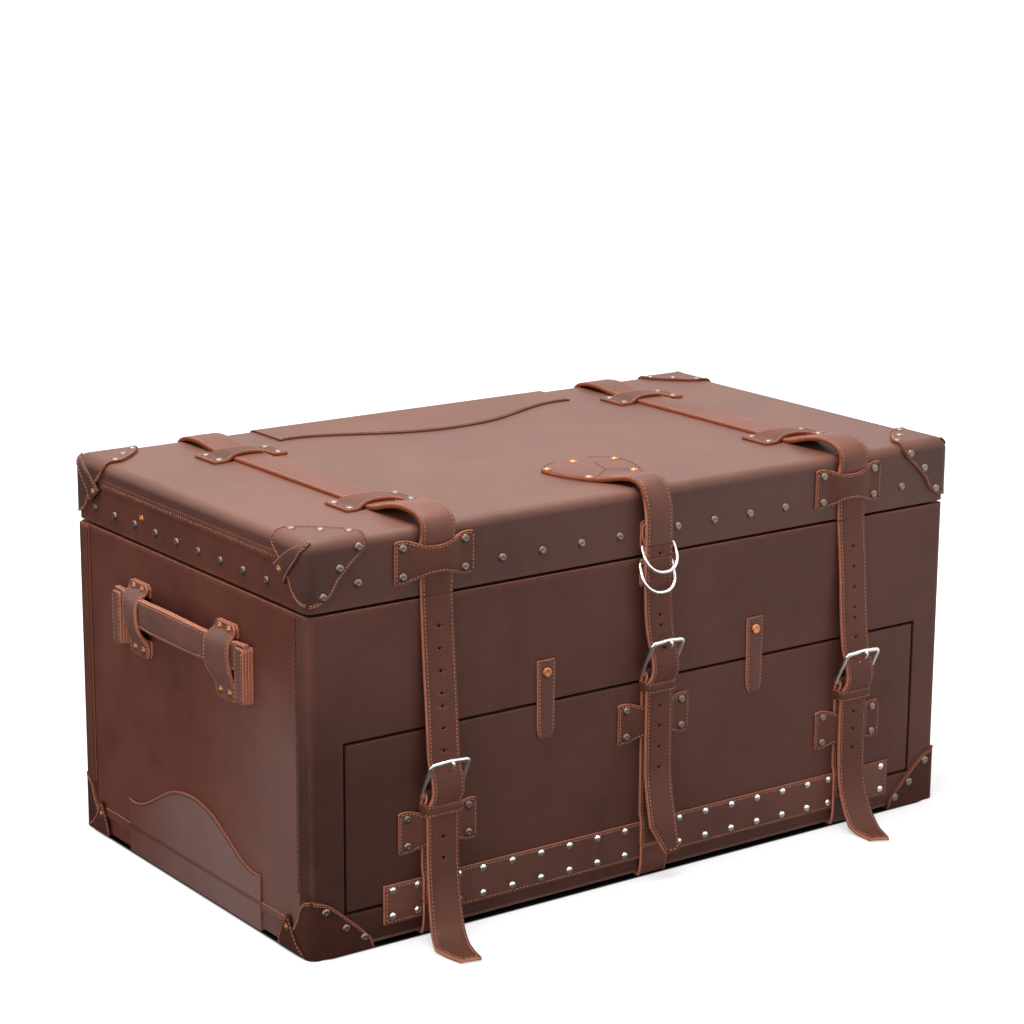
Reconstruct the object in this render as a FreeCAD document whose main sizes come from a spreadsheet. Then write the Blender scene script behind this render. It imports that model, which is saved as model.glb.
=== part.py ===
import FreeCAD, Part
import math
import os
import re
import Sketcher
from types import SimpleNamespace

# Leather-clad travel trunk with a hinged lid and a drop front.
# Frame: +Z up, +X along the long front, the front faces -Y. The origin is on
# the floor, under the middle of the case, where the centre strap rests.
# "Proud" is a distance out of a face: out of the front face it points to -Y.

SIZES = [
    ("case_width", 930.0, "case over its leather, left to right"),
    ("case_depth", 528.0, "case over its leather, front to back"),
    ("seam_height", 389.0, "floor to the top edge of the case"),
    ("lid_gap", 4.0, "open seam between case and lid"),
    ("lid_height", 77.0, "lid, from its rim to its top"),
    ("base_lift", 4.0, "leather and straps under the case bottom"),
    ("leather", 3.5, "covering leather"),
    ("board", 10.0, "plywood of the carcass"),
    ("edge_radius", 9.0, "wrapped upright edges"),
    ("top_radius", 12.0, "wrapped top edges of the lid"),
    ("corner_wrap", 24.0, "front leather turned onto the ends"),
    ("back_wrap", 28.0, "back leather turned onto the ends"),
    ("bottom_wrap", 33.0, "bottom leather turned up the ends"),
    ("end_fold", 29.5, "lid top leather turned down the ends"),
    ("door_margin", 46.0, "side of the drop front to the side of the case"),
    ("door_bottom", 46.0, "floor to the lower edge of the drop front"),
    ("door_top", 239.0, "floor to the upper edge of the drop front"),
    ("door_gap", 3.0, "gap all round the drop front"),
    ("lip_depth", 60.0, "inner rim reaching down into the case"),
    ("lip_rise", 24.0, "inner rim standing up into the lid"),
    ("lip_board", 6.0, "thickness of the inner rim"),
    ("lip_play", 1.5, "inner rim to lid wall"),
    ("strap_width", 44.0, "outer straps"),
    ("centre_width", 38.0, "centre strap"),
    ("strap_thick", 4.0, "all straps"),
    ("lay", 0.2, "strap to the leather that it lies on"),
    ("strap_reach", 305.0, "centre line of the outer straps, from the middle"),
    ("centre_x", 3.0, "centre line of the centre strap"),
    ("lean_left", 5.0, "left strap, how far inwards it runs on its way down"),
    ("lean_right", 7.0, "right strap, how far outwards it runs on its way down"),
    ("heel_left", 163.0, "height of the left buckle's heel bar"),
    ("heel_centre", 250.0, "height of the centre buckle's heel bar"),
    ("heel_right", 185.0, "height of the right buckle's heel bar"),
    ("loop_left_z", 123.5, "height of the left loop on the drop front"),
    ("loop_centre_z", 192.5, "height of the centre loop on the drop front"),
    ("loop_right_z", 127.0, "height of the right loop on the drop front"),
    ("bar_radius", 2.3, "buckle wire"),
    ("bar_play", 0.3, "chape leather to heel bar"),
    ("frame_length", 46.0, "heel bar to top bar of a buckle"),
    ("frame_tilt", 25.7, "lean of a closed buckle from upright, degrees"),
    ("frame_ease", 1.3, "buckle side bar to strap edge"),
    ("prong_radius", 1.8, "buckle prong"),
    ("pin_play", 0.05, "running fit of a prong on its bar"),
    ("keeper_tall", 13.0, "leather keeper below each buckle"),
    ("keeper_thick", 2.2, "keeper leather"),
    ("loop_length", 105.0, "bone-shaped strap loop, end to end"),
    ("loop_tall", 49.0, "bone-shaped loop at its ends"),
    ("loop_waist", 31.0, "bone-shaped loop at its waist"),
    ("loop_thick", 3.0, "bone-shaped loop leather"),
    ("rivet_pitch_x", 81.5, "rivets of a loop, along it"),
    ("rivet_pitch_z", 32.0, "rivets of a loop, across it"),
    ("lid_loop_z", 433.0, "height of the loops on the lid front"),
    ("top_loop_front", -144.0, "front loops on the lid top"),
    ("top_loop_back", 145.0, "back loops on the lid top"),
    ("band_margin", 41.5, "end of the hinge band to the side of the drop front"),
    ("band_x", 5.5, "middle of the hinge band"),
    ("band_low", 21.0, "lower edge of the hinge band"),
    ("band_high", 67.5, "upper edge of the hinge band"),
    ("band_thick", 3.0, "hinge band leather"),
    ("stud_margin", 11.2, "end of the hinge band to its last stud"),
    ("stud_columns", 19.0, "studs in a row"),
    ("stud_low", 30.3, "height of the lower studs"),
    ("stud_high", 60.5, "height of the upper studs"),
    ("stud_radius", 4.5, "polished stud"),
    ("rivet_radius", 5.2, "antique rivet"),
    ("rivet_rise", 2.0, "height of a rivet head"),
    ("stud_rise", 2.4, "height of a polished stud"),
    ("copper_radius", 5.0, "copper rivet"),
    ("press_radius", 6.2, "press-stud cap"),
    ("press_rise", 2.2, "height of a press-stud cap"),
    ("tab_width", 28.0, "press-stud tab"),
    ("tab_left_x", -151.5, "left press-stud tab"),
    ("tab_right_x", 158.0, "right press-stud tab"),
    ("tab_low", 198.0, "pointed lower end of a tab"),
    ("tab_high", 296.0, "upper end of a tab"),
    ("tab_stud_z", 276.0, "height of the press studs"),
    ("cap_thick", 3.0, "corner cap leather"),
    ("lid_cap_leg", 74.0, "lid corner cap, along each edge"),
    ("lid_cap_drop", 70.0, "lid corner cap, down the lid"),
    ("base_cap_leg", 79.0, "base corner cap, along the bottom"),
    ("base_cap_rise", 69.0, "base corner cap, up the corner"),
    ("front_rivet_first", 42.5, "rivets on the lid front, innermost from their middle"),
    ("front_rivet_pitch", 54.8, "rivets along the lid front"),
    ("front_rivet_outer", 68.5, "outermost rivets on the lid front, to the side of the case"),
    ("front_rivet_shift", 5.0, "rivets on the lid front, moved to the left"),
    ("odd_rivet_y", 103.0, "single copper rivet on the left end of the lid"),
    ("end_rivet_front", 84.0, "first rivet on a lid end, from the front"),
    ("end_rivet_back", 45.0, "last rivet on a lid end, from the back"),
    ("overlay_half", 222.0, "half width of the overlay on the lid top"),
    ("overlay_reach", 134.0, "overlay on the lid top, back to front"),
    ("overlay_fold", 46.0, "overlay on the lid top, down the back"),
    ("overlay_thick", 2.5, "overlay leather"),
    ("end_overlay_half", 154.0, "half width of the overlays on the ends"),
    ("end_overlay_high", 115.5, "overlays on the ends, top of the wave"),
    ("end_overlay_under", 46.0, "overlays on the ends, turned under the case"),
    ("handle_y", 2.5, "middle of a handle"),
    ("handle_loop_reach", 100.5, "handle loop, from the handle's middle"),
    ("handle_loop_wide", 40.0, "handle loop, along the handle"),
    ("handle_loop_low", 258.0, "handle loop, lower end"),
    ("handle_loop_high", 347.0, "handle loop, upper end"),
    ("handle_arch", 13.0, "inside of a handle loop, proud of the end"),
    ("grip_low", 295.5, "handle grip, lower edge"),
    ("grip_tall", 34.0, "handle grip, height"),
    ("grip_thick", 6.0, "handle grip, two layers"),
    ("grip_bow", 20.0, "middle of the grip, proud of the end"),
    ("stop_low", 262.0, "handle stops, lower edge"),
    ("stop_tall", 63.0, "handle stops, height"),
    ("stop_wide", 21.0, "handle stops, along the handle"),
    ("stop_thick", 10.5, "handle stops, three layers"),
    ("handle_play", 3.5, "handle stop to handle loop"),
    ("shelf_height", 248.0, "underside of the shelf between the compartments"),
    ("hinge_inset", 49.0, "outer lid hinges, from the outer straps inwards"),
    ("hinge_wide", 44.0, "lid hinge leaves"),
    ("hinge_leaf", 1.6, "lid hinge plate"),
    ("hinge_tall", 26.0, "lid hinge leaf, from the pin"),
    ("knuckle_radius", 4.3, "lid hinge knuckle"),
    ("hinge_pin_radius", 2.0, "lid hinge pin"),
    ("ring_radius", 2.2, "D-ring wire"),
    ("ring_inside", 42.0, "D-ring, clear width"),
    ("ring_drop", 37.0, "D-ring, bar to bow"),
    ("ring_upper_z", 404.0, "bar of the upper D-ring"),
    ("ring_lower_z", 384.0, "bar of the lower D-ring"),
    ("ring_proud", 5.2, "D-ring bars, proud of the front"),
    ("ring_tilt", 27.0, "lean of the D-rings from upright, degrees"),
]

doc = FreeCAD.newDocument("travel_trunk")
sheet = doc.addObject("Spreadsheet::Sheet", "sizes")
for row, (alias, value, meaning) in enumerate(SIZES, start=1):
    sheet.set("A%d" % row, meaning)
    sheet.set("B%d" % row, str(value))
    sheet.setAlias("B%d" % row, alias)
doc.recompute()
size = SimpleNamespace(**{alias: float(sheet.get(alias)) for alias, _, _ in SIZES})
ALIASES = {alias for alias, _, _ in SIZES}

V = FreeCAD.Vector
X_AXIS, Y_AXIS, Z_AXIS = V(1, 0, 0), V(0, 1, 0), V(0, 0, 1)
ORIGIN = V(0, 0, 0)
TINY = 0.01
NODES = []

# Faces and levels that many pieces share, worked out from the driving sizes.
HALF_W = size.case_width / 2
HALF_D = size.case_depth / 2
LID_LOW = size.seam_height + size.lid_gap
LID_TOP = LID_LOW + size.lid_height
SEAM_Z = size.seam_height + size.lid_gap / 2
STRAP_MID = size.lay + size.strap_thick / 2
ON_BAND = size.band_thick + STRAP_MID
DOOR_AXIS_PROUD = size.band_thick + size.strap_thick + size.lay
DOOR_AXIS_Z = size.door_bottom - size.door_gap / 2
BAR_PROUD = STRAP_MID + size.bar_radius + size.bar_play + size.strap_thick / 2
FRONT_LEAF = STRAP_MID + size.strap_thick + 0.1
STRAPS = [
    SimpleNamespace(name="left", top_x=-size.strap_reach, x=size.lean_left - size.strap_reach,
                    heel=size.heel_left, loop_z=size.loop_left_z, width=size.strap_width),
    SimpleNamespace(name="centre", top_x=size.centre_x, x=size.centre_x + 2.0,
                    heel=size.heel_centre, loop_z=size.loop_centre_z, width=size.centre_width),
    SimpleNamespace(name="right", top_x=size.strap_reach, x=size.strap_reach + size.lean_right,
                    heel=size.heel_right, loop_z=size.loop_right_z, width=size.strap_width),
]


# ---------------------------------------------------------------- helpers

def bound(text):
    """An expression with every size name pointing at the sheet."""
    return re.sub(r"[a-z_]+", lambda m: "sizes." + m[0] if m[0] in ALIASES else m[0], text)


def keep(obj, label):
    """Registers an object as a finished sub-part."""
    obj.Label = label
    NODES.append(obj)
    return obj


def box(name, low, dims):
    """Part::Box with its corner and its three dimensions bound to the sheet."""
    obj = doc.addObject("Part::Box", name)
    for axis, text in zip("xyz", low):
        obj.setExpression("Placement.Base." + axis, bound(text))
    for prop, text in zip(("Length", "Width", "Height"), dims):
        obj.setExpression(prop, bound(text))
    return obj


def group(label, members):
    """One node of several separate solids."""
    obj = doc.addObject("Part::Compound", label)
    obj.Links = members
    return keep(obj, label)


def solids(label, shapes):
    """One node from shapes that Part made: bent leather, wire and rivets."""
    parts = [solid for shape in shapes for solid in shape.Solids]
    obj = doc.addObject("Part::Feature", label)
    obj.Shape = parts[0] if len(parts) == 1 else Part.makeCompound(parts)
    obj.Placement = FreeCAD.Placement()
    return keep(obj, label)


def plane(body, role):
    return next(f for f in body.Origin.OriginFeatures if f.Role == role)


def prism(name, role, corners, start, length):
    """Body padded from a straight-sided sketch whose corners are bound to the sheet.

    start is the distance from the origin plane along its normal. XZ_Plane's
    normal is -Y, so a pad on it grows towards the front of the trunk.
    """
    body = doc.addObject("PartDesign::Body", name)
    sketch = body.newObject("Sketcher::SketchObject", name + "_outline")
    sketch.AttachmentSupport = [(plane(body, role), "")]
    sketch.MapMode = "FlatFace"
    count = len(corners)
    ring = [V(math.cos(math.tau * i / count), math.sin(math.tau * i / count), 0) * 100
            for i in range(count)]
    for i in range(count):
        sketch.addGeometry(Part.LineSegment(ring[i], ring[(i + 1) % count]))
    for i in range(count):
        sketch.addConstraint(Sketcher.Constraint("Coincident", i, 2, (i + 1) % count, 1))
    for i, pair in enumerate(corners):
        for kind, text in zip(("DistanceX", "DistanceY"), pair):
            number = sketch.addConstraint(Sketcher.Constraint(kind, -1, 1, i, 1, 1.0))
            sketch.setExpression("Constraints[%d]" % number, bound(text))
    sketch.setExpression("AttachmentOffset.Base.z", bound(start))
    pad = body.newObject("PartDesign::Pad", name + "_pad")
    pad.Profile = sketch
    pad.setExpression("Length", bound(length))
    doc.recompute()
    return body


def soften(body, picker, radius):
    """Fillets the edges of a body's tip that the picker accepts."""
    base = body.Tip
    names = ["Edge%d" % (i + 1) for i, e in enumerate(base.Shape.Edges) if picker(e)]
    fillet = body.newObject("PartDesign::Fillet", "soft_" + body.Name)
    fillet.Base = (base, names)
    fillet.setExpression("Radius", bound(radius))
    doc.recompute()
    return body


def upright_at(x, y):
    """Picks upright edges at a distance x and y from the middle of the trunk."""
    def picker(edge):
        mid = edge.CenterOfMass
        flat = abs(edge.BoundBox.XLength) < TINY and abs(edge.BoundBox.YLength) < TINY
        return flat and abs(abs(mid.x) - x) < TINY and abs(mid.y - y) < TINY
    return picker


def on_front(edge):
    """Picks edges that lie in the front face of the case."""
    return abs(edge.BoundBox.YMin + HALF_D) < TINY and edge.BoundBox.YLength < TINY


def evenly(first, last, count):
    """Evenly spaced numbers from first to last."""
    return [first + (last - first) * i / (count - 1) for i in range(count)]


def polygon_face(points):
    return Part.Face(Part.makePolygon(points + points[:1]))


def smooth(points, rounds=2):
    """Points of a rounded path: every corner is cut, so it never bulges past a station."""
    for _ in range(rounds):
        cut = [points[0]]
        for a, b in zip(points, points[1:]):
            cut.append(tuple(0.75 * p + 0.25 * q for p, q in zip(a, b)))
            cut.append(tuple(0.25 * p + 0.75 * q for p, q in zip(a, b)))
        points = cut[:1] + cut[2:-1] + [points[-1]]
    return points


def strap(stations, width, thick):
    """Solid strap along centre stations (x, y, z), flat across X, bent in Y and Z."""
    rings = []
    for i, (x, y, z) in enumerate(stations):
        before = stations[max(i - 1, 0)]
        after = stations[min(i + 1, len(stations) - 1)]
        run_y, run_z = after[1] - before[1], after[2] - before[2]
        scale = thick / 2 / math.hypot(run_y, run_z)
        off_y, off_z = -run_z * scale, run_y * scale
        rings.append([V(x + side * width / 2, y + face * off_y, z + face * off_z)
                      for side, face in ((-1, 1), (1, 1), (1, -1), (-1, -1))])
    faces = [polygon_face(rings[0]), polygon_face(rings[-1])]
    for a, b in zip(rings, rings[1:]):
        for i, j in ((0, 1), (2, 3)):
            faces.append(polygon_face([a[i], a[j], b[j], b[i]]))
        for i, j in ((1, 2), (3, 0)):
            faces.append(polygon_face([a[i], a[j], b[j]]))
            faces.append(polygon_face([a[i], b[j], b[i]]))
    solid = Part.makeSolid(Part.makeShell(faces))
    if solid.Volume < 0:
        solid.reverse()
    return solid


def bent_plate(path, thick, low, high, place=V):
    """Plate that follows a path, from low to high across it.

    place turns (first, second, across) into a point; by itself the path lies in XY.
    """
    sides = ([], [])
    for i, (x, y) in enumerate(path):
        turns = [path[k + 1][m] - path[k][m] for k in (i - 1, i) if 0 <= k < len(path) - 1
                 for m in (0, 1)]
        units = [(turns[k] / math.hypot(*turns[k:k + 2]), turns[k + 1] / math.hypot(*turns[k:k + 2]))
                 for k in range(0, len(turns), 2)]
        nx = -sum(u[1] for u in units) / len(units)
        ny = sum(u[0] for u in units) / len(units)
        mitre = thick / 2 / (nx * nx + ny * ny)
        for side, sign in zip(sides, (1, -1)):
            side.append(place(x + sign * nx * mitre, y + sign * ny * mitre, low))
    face = polygon_face(sides[0] + sides[1][::-1])
    return face.extrude(place(0, 0, high) - place(0, 0, low))


def wire_loop(corners, radius):
    """Closed bent wire through corners given as (point, bend radius)."""
    trims = []
    for i, (point, bend) in enumerate(corners):
        back = (corners[i - 1][0] - point).normalize()
        ahead = (corners[(i + 1) % len(corners)][0] - point).normalize()
        half = back.getAngle(ahead) / 2
        inward = (back + ahead).normalize()
        reach = bend / math.tan(half)
        apex = point + inward * (bend / math.sin(half) - bend)
        trims.append((point + back * reach, apex, point + ahead * reach))
    edges = []
    for i, (start, apex, stop) in enumerate(trims):
        edges.append(Part.Arc(start, apex, stop).toShape())
        edges.append(Part.makeLine(stop, trims[(i + 1) % len(trims)][0]))
    spine = Part.Wire(edges)
    section = Part.makeCircle(radius, trims[0][2], trims[1][0] - trims[0][2])
    return spine_sweep(spine, section)


def spine_sweep(spine, section):
    return spine.makePipeShell([Part.Wire([section])], True, False)


def dome(radius, rise):
    """Low domed head standing on the plane z = 0."""
    ball = (radius * radius + rise * rise) / (2 * rise)
    low = math.degrees(math.asin((ball - rise) / ball))
    head = Part.makeSphere(ball, ORIGIN, Z_AXIS, low, 90, 360)
    head.translate(V(0, 0, rise - ball))
    return head


def heads(places, radius, rise):
    """Copies of a domed head at places given as (point, outward direction)."""
    result = []
    for point, outward in places:
        head = dome(radius, rise)
        head.Placement = FreeCAD.Placement(point, FreeCAD.Rotation(Z_AXIS, outward)) * head.Placement
        result.append(head)
    return result


def curve_outline(points, closing):
    """Face bounded by a spline through points and straight runs through closing."""
    spline = Part.BSplineCurve()
    spline.interpolate(points)
    chain = [points[-1]] + closing + [points[0]]
    edges = [spline.toShape()] + [Part.makeLine(a, b) for a, b in zip(chain, chain[1:])]
    return Part.Face(Part.Wire(edges))


# ---------------------------------------------------------------- wooden carcass

IN_X = "(case_width / 2 - leather)"
IN_Y = "(case_depth / 2 - leather)"
FLOOR_Z = "(base_lift + leather)"
WALL_Z = "(base_lift + leather + board)"
WALL_TALL = "(seam_height - base_lift - leather - board)"
DEEP = "(case_depth - 2 * leather)"
INSIDE_W = "(case_width - 2 * leather - 2 * board)"
INSIDE_D = "(case_depth - 2 * leather - 2 * board)"
HOLE_X = "(case_width / 2 - door_margin + door_gap)"


def carcass():
    keep(box("base_board", ("-" + IN_X, "-" + IN_Y, FLOOR_Z),
             ("2 * " + IN_X, DEEP, "board")), "base_board")
    keep(box("back_board", (IN_X + " * -1 + board", IN_Y + " - board", WALL_Z),
             (INSIDE_W, "board", WALL_TALL)), "back_board")
    for side, x in (("left", "-" + IN_X), ("right", IN_X + " - board")):
        keep(box(side + "_end_board", (x, "-" + IN_Y, WALL_Z), ("board", DEEP, WALL_TALL)),
             side + "_end_board")
    upper = box("front_upper_board", ("-" + IN_X + " + board", "-" + IN_Y, "door_top + door_gap"),
                (INSIDE_W, "board", "seam_height - door_top - door_gap"))
    post_wide = IN_X + " - board - " + HOLE_X
    post_tall = "door_top + door_gap - " + WALL_Z
    posts = [box("front_post_" + side, (x, "-" + IN_Y, WALL_Z), (post_wide, "board", post_tall))
             for side, x in (("left", "-" + IN_X + " + board"), ("right", HOLE_X))]
    rail = box("front_rail", ("-" + HOLE_X, "-" + IN_Y, WALL_Z),
               ("2 * " + HOLE_X, "board", "door_bottom - door_gap - " + WALL_Z))
    group("front_frame", [upper] + posts + [rail])
    keep(box("divider_shelf", ("-" + IN_X + " + board", "-" + IN_Y + " + board", "shelf_height"),
             (INSIDE_W, INSIDE_D, "board")), "divider_shelf")


def rim_lip():
    """Four thin boards inside the case that the lid closes over."""
    low = "seam_height - lip_depth"
    tall = "lip_depth + lip_rise"
    inner_x = "(" + IN_X + " - board)"
    inner_y = "(" + IN_Y + " - board)"
    walls = [
        box("lip_front", ("-" + inner_x, "-" + inner_y, low), (INSIDE_W, "lip_board", tall)),
        box("lip_back", ("-" + inner_x, inner_y + " - lip_board", low),
            (INSIDE_W, "lip_board", tall)),
        box("lip_left", ("-" + inner_x, "-" + inner_y + " + lip_board", low),
            ("lip_board", INSIDE_D + " - 2 * lip_board", tall)),
        box("lip_right", (inner_x + " - lip_board", "-" + inner_y + " + lip_board", low),
            ("lip_board", INSIDE_D + " - 2 * lip_board", tall)),
    ]
    group("rim_lip", walls)


# ---------------------------------------------------------------- case leather

def wrapped(name, sign, wrap, low, tall):
    """Leather over the front (sign -1) or back (sign 1), turned onto both ends."""
    face = "%d * case_depth / 2" % sign
    inner = "%d * (case_depth / 2 - leather)" % sign
    turn = "%d * (case_depth / 2 - %s)" % (sign, wrap)
    corners = [("-case_width / 2", turn), ("-case_width / 2", face), ("case_width / 2", face),
               ("case_width / 2", turn), (IN_X, turn), (IN_X, inner), ("-" + IN_X, inner),
               ("-" + IN_X, turn)]
    body = prism(name, "XY_Plane", corners, low, tall)
    return soften(body, upright_at(HALF_W, sign * HALF_D), "edge_radius")


def case_leather():
    low, tall = FLOOR_Z, "seam_height - base_lift - leather"
    front = wrapped("front_leather", -1, "corner_wrap", low, tall)
    hole = front.newObject("PartDesign::SubtractiveBox", "door_hole")
    for prop, text in (("Length", "2 * " + HOLE_X), ("Width", "3 * leather"),
                       ("Height", "door_top - door_bottom + 2 * door_gap"),
                       ("Placement.Base.x", "-" + HOLE_X),
                       ("Placement.Base.y", "-case_depth / 2 - leather"),
                       ("Placement.Base.z", "door_bottom - door_gap")):
        hole.setExpression(prop, bound(text))
    doc.recompute()
    keep(front, "front_leather")
    keep(wrapped("back_leather", 1, "back_wrap", low, tall), "back_leather")
    wall = "case_depth - corner_wrap - back_wrap"
    ends = [box("end_leather_" + side, (x, "-case_depth / 2 + corner_wrap",
                                        FLOOR_Z + " + bottom_wrap"),
                ("leather", wall, tall + " - bottom_wrap"))
            for side, x in (("left", "-case_width / 2"), ("right", IN_X))]
    group("end_leathers", ends)
    corners = [("-case_width / 2", FLOOR_Z + " + bottom_wrap"), ("-case_width / 2", "base_lift"),
               ("case_width / 2", "base_lift"), ("case_width / 2", FLOOR_Z + " + bottom_wrap"),
               (IN_X, FLOOR_Z + " + bottom_wrap"), (IN_X, FLOOR_Z), ("-" + IN_X, FLOOR_Z),
               ("-" + IN_X, FLOOR_Z + " + bottom_wrap")]
    tray = prism("bottom_tray", "XZ_Plane", corners, "-case_depth / 2 + back_wrap", wall)
    strips = [box("bottom_strip_" + name, ("-case_width / 2 + edge_radius", y, "base_lift"),
                  ("case_width - 2 * edge_radius", wide, "leather"))
              for name, y, wide in (("front", "-case_depth / 2", "corner_wrap"),
                                    ("back", "case_depth / 2 - back_wrap", "back_wrap"))]
    group("bottom_leather", [tray] + strips)


# Half outline of the wavy overlays: (distance from the middle, rise), as shares.
WAVE = [(0.0, 1.0), (0.28, 0.94), (0.52, 0.78), (0.74, 0.62), (0.9, 0.56), (1.0, 0.57)]


def wave_face(half, rise, place):
    """Flat face under a wave of the given half width and rise."""
    whole = [(-u, v) for u, v in WAVE[:0:-1]] + WAVE
    points = [place(u * half, v * rise) for u, v in whole]
    return curve_outline(points, [place(half, 0), place(-half, 0)])


def end_overlays():
    """Wavy leather on each end, turned under the case."""
    half, rise, thick = size.end_overlay_half, size.end_overlay_high - size.base_lift, 2.6
    middle_y, under = -5.5, size.end_overlay_under
    shapes = []
    for sign in (-1, 1):
        face = wave_face(half, rise, lambda u, v: V(sign * HALF_W, middle_y + u, size.base_lift + v))
        leaf = face.extrude(V(sign * thick, 0, 0))
        low = V(sign * (HALF_W + thick) if sign < 0 else HALF_W - under, middle_y - half,
                size.base_lift - thick)
        turn = Part.makeBox(under + thick, 2 * half, thick, low)
        shapes.append(leaf.fuse(turn).removeSplitter())
    solids("end_wave_overlays", shapes)


# ---------------------------------------------------------------- corner caps

# Cap outlines as shares of the two legs, from the end of one leg to the other.
LID_LEAF = [(1.0, 0.0), (0.98, 0.15), (0.87, 0.26), (0.68, 0.43), (0.49, 0.64), (0.38, 0.83),
            (0.2, 0.96), (0.0, 1.0)]
TOP_LEAF = [(1.0, 0.0), (0.98, 0.26), (0.77, 0.56), (0.52, 0.8), (0.24, 0.98), (0.0, 1.0)]
BASE_LEAF = [(1.0, 0.0), (0.96, 0.17), (0.74, 0.43), (0.57, 0.6), (0.38, 0.79), (0.22, 0.92),
             (0.0, 1.0)]
OUTSIDE = 20.0


def rounded_block(low, high, upright, top, extra):
    """Case or lid envelope, grown by extra, with wrapped upright and top edges."""
    a, b = V(*low), V(*high)
    shape = Part.makeBox(b.x - a.x + 2 * extra, b.y - a.y + 2 * extra, b.z - a.z,
                         V(a.x - extra, a.y - extra, a.z))
    edges = [e for e in shape.Edges if e.BoundBox.ZLength > TINY]
    shape = shape.makeFillet(upright + extra, edges)
    if top:
        rim = [e for e in shape.Edges if abs(e.BoundBox.ZMin - b.z) < TINY
               and e.BoundBox.ZLength < TINY]
        shape = shape.makeFillet(top, rim)
    return shape


def leaf_prism(leaf, legs, corner, along, up, through):
    """Prism of a cap outline: legs along and up from the corner, cut through a direction."""
    points = [corner + along * (u * legs[0]) + up * (v * legs[1]) for u, v in leaf]
    out = corner - along * OUTSIDE - up * OUTSIDE
    closing = [points[-1] - along * OUTSIDE, out, points[0] - up * OUTSIDE]
    face = curve_outline(points, closing)
    face.translate(through * -OUTSIDE)
    return face.extrude(through * (2 * OUTSIDE + legs[0] + legs[1]))


def four_corners(shape):
    """The front left shape and its mirror images at the other three corners."""
    right = shape.mirror(ORIGIN, X_AXIS)
    return [shape, right, shape.mirror(ORIGIN, Y_AXIS), right.mirror(ORIGIN, Y_AXIS)]


def corner_caps():
    leg, drop, thick = size.lid_cap_leg, size.lid_cap_drop, size.cap_thick
    low, high = (-HALF_W, -HALF_D, LID_LOW), (HALF_W, HALF_D, LID_TOP)
    inner = rounded_block(low, high, size.edge_radius, size.top_radius, 0)
    outer = rounded_block(low, (HALF_W, HALF_D, LID_TOP + thick), size.edge_radius,
                          size.top_radius + thick, thick)
    shell = outer.cut(inner)
    corner = V(-HALF_W, -HALF_D, LID_TOP)
    down = -Z_AXIS
    cap = shell
    for prism_shape in (leaf_prism(LID_LEAF, (leg, drop), corner, X_AXIS, down, Y_AXIS),
                        leaf_prism(LID_LEAF, (leg - 4, drop - 1), corner, Y_AXIS, down, X_AXIS),
                        leaf_prism(TOP_LEAF, (leg, leg), corner, X_AXIS, Y_AXIS, down)):
        cap = cap.common(prism_shape)
    solids("lid_corner_caps", four_corners(cap))

    leg, rise = size.base_cap_leg, size.base_cap_rise
    low, high = (-HALF_W, -HALF_D, size.base_lift), (HALF_W, HALF_D, size.seam_height)
    inner = rounded_block(low, high, size.edge_radius, 0, 0)
    outer = rounded_block((-HALF_W, -HALF_D, 0), high, size.edge_radius, 0, thick)
    shell = outer.cut(inner)
    corner = V(-HALF_W, -HALF_D, 0)
    cap = shell
    for prism_shape in (leaf_prism(BASE_LEAF, (leg, rise), corner, X_AXIS, Z_AXIS, Y_AXIS),
                        leaf_prism(LID_LEAF, (50, rise), corner, Y_AXIS, Z_AXIS, X_AXIS),
                        leaf_prism(TOP_LEAF, (leg, 50), corner, X_AXIS, Y_AXIS, Z_AXIS)):
        cap = cap.common(prism_shape)
    solids("base_corner_caps", four_corners(cap))


# ---------------------------------------------------------------- lid

def lid_boards():
    low = "(seam_height + lid_gap)"
    tall = "(lid_height - leather - board)"
    corners = [("-" + IN_X, "-" + IN_Y), (IN_X, "-" + IN_Y), (IN_X, IN_Y), ("-" + IN_X, IN_Y)]
    top = prism("lid_top_board", "XY_Plane", corners, low + " + " + tall, "board")
    for sign in (-1, 1):
        soften(top, upright_at(HALF_W - size.leather, sign * (HALF_D - size.leather)),
               "edge_radius - leather")
    rim = LID_TOP - size.leather
    soften(top, lambda e: e.BoundBox.ZMin > rim - TINY, "top_radius - 2 * leather")
    keep(top, "lid_top_board")
    thin = "(board - lip_play)"
    short = DEEP + " - 2 * " + thin
    walls = [
        box("lid_wall_front", ("-" + IN_X, "-" + IN_Y, low), ("2 * " + IN_X, thin, tall)),
        box("lid_wall_back", ("-" + IN_X, IN_Y + " - " + thin, low), ("2 * " + IN_X, thin, tall)),
        box("lid_wall_left", ("-" + IN_X, "-" + IN_Y + " + " + thin, low), (thin, short, tall)),
        box("lid_wall_right", (IN_X + " - " + thin, "-" + IN_Y + " + " + thin, low),
            (thin, short, tall)),
    ]
    group("lid_frame", walls)
    return top


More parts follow.
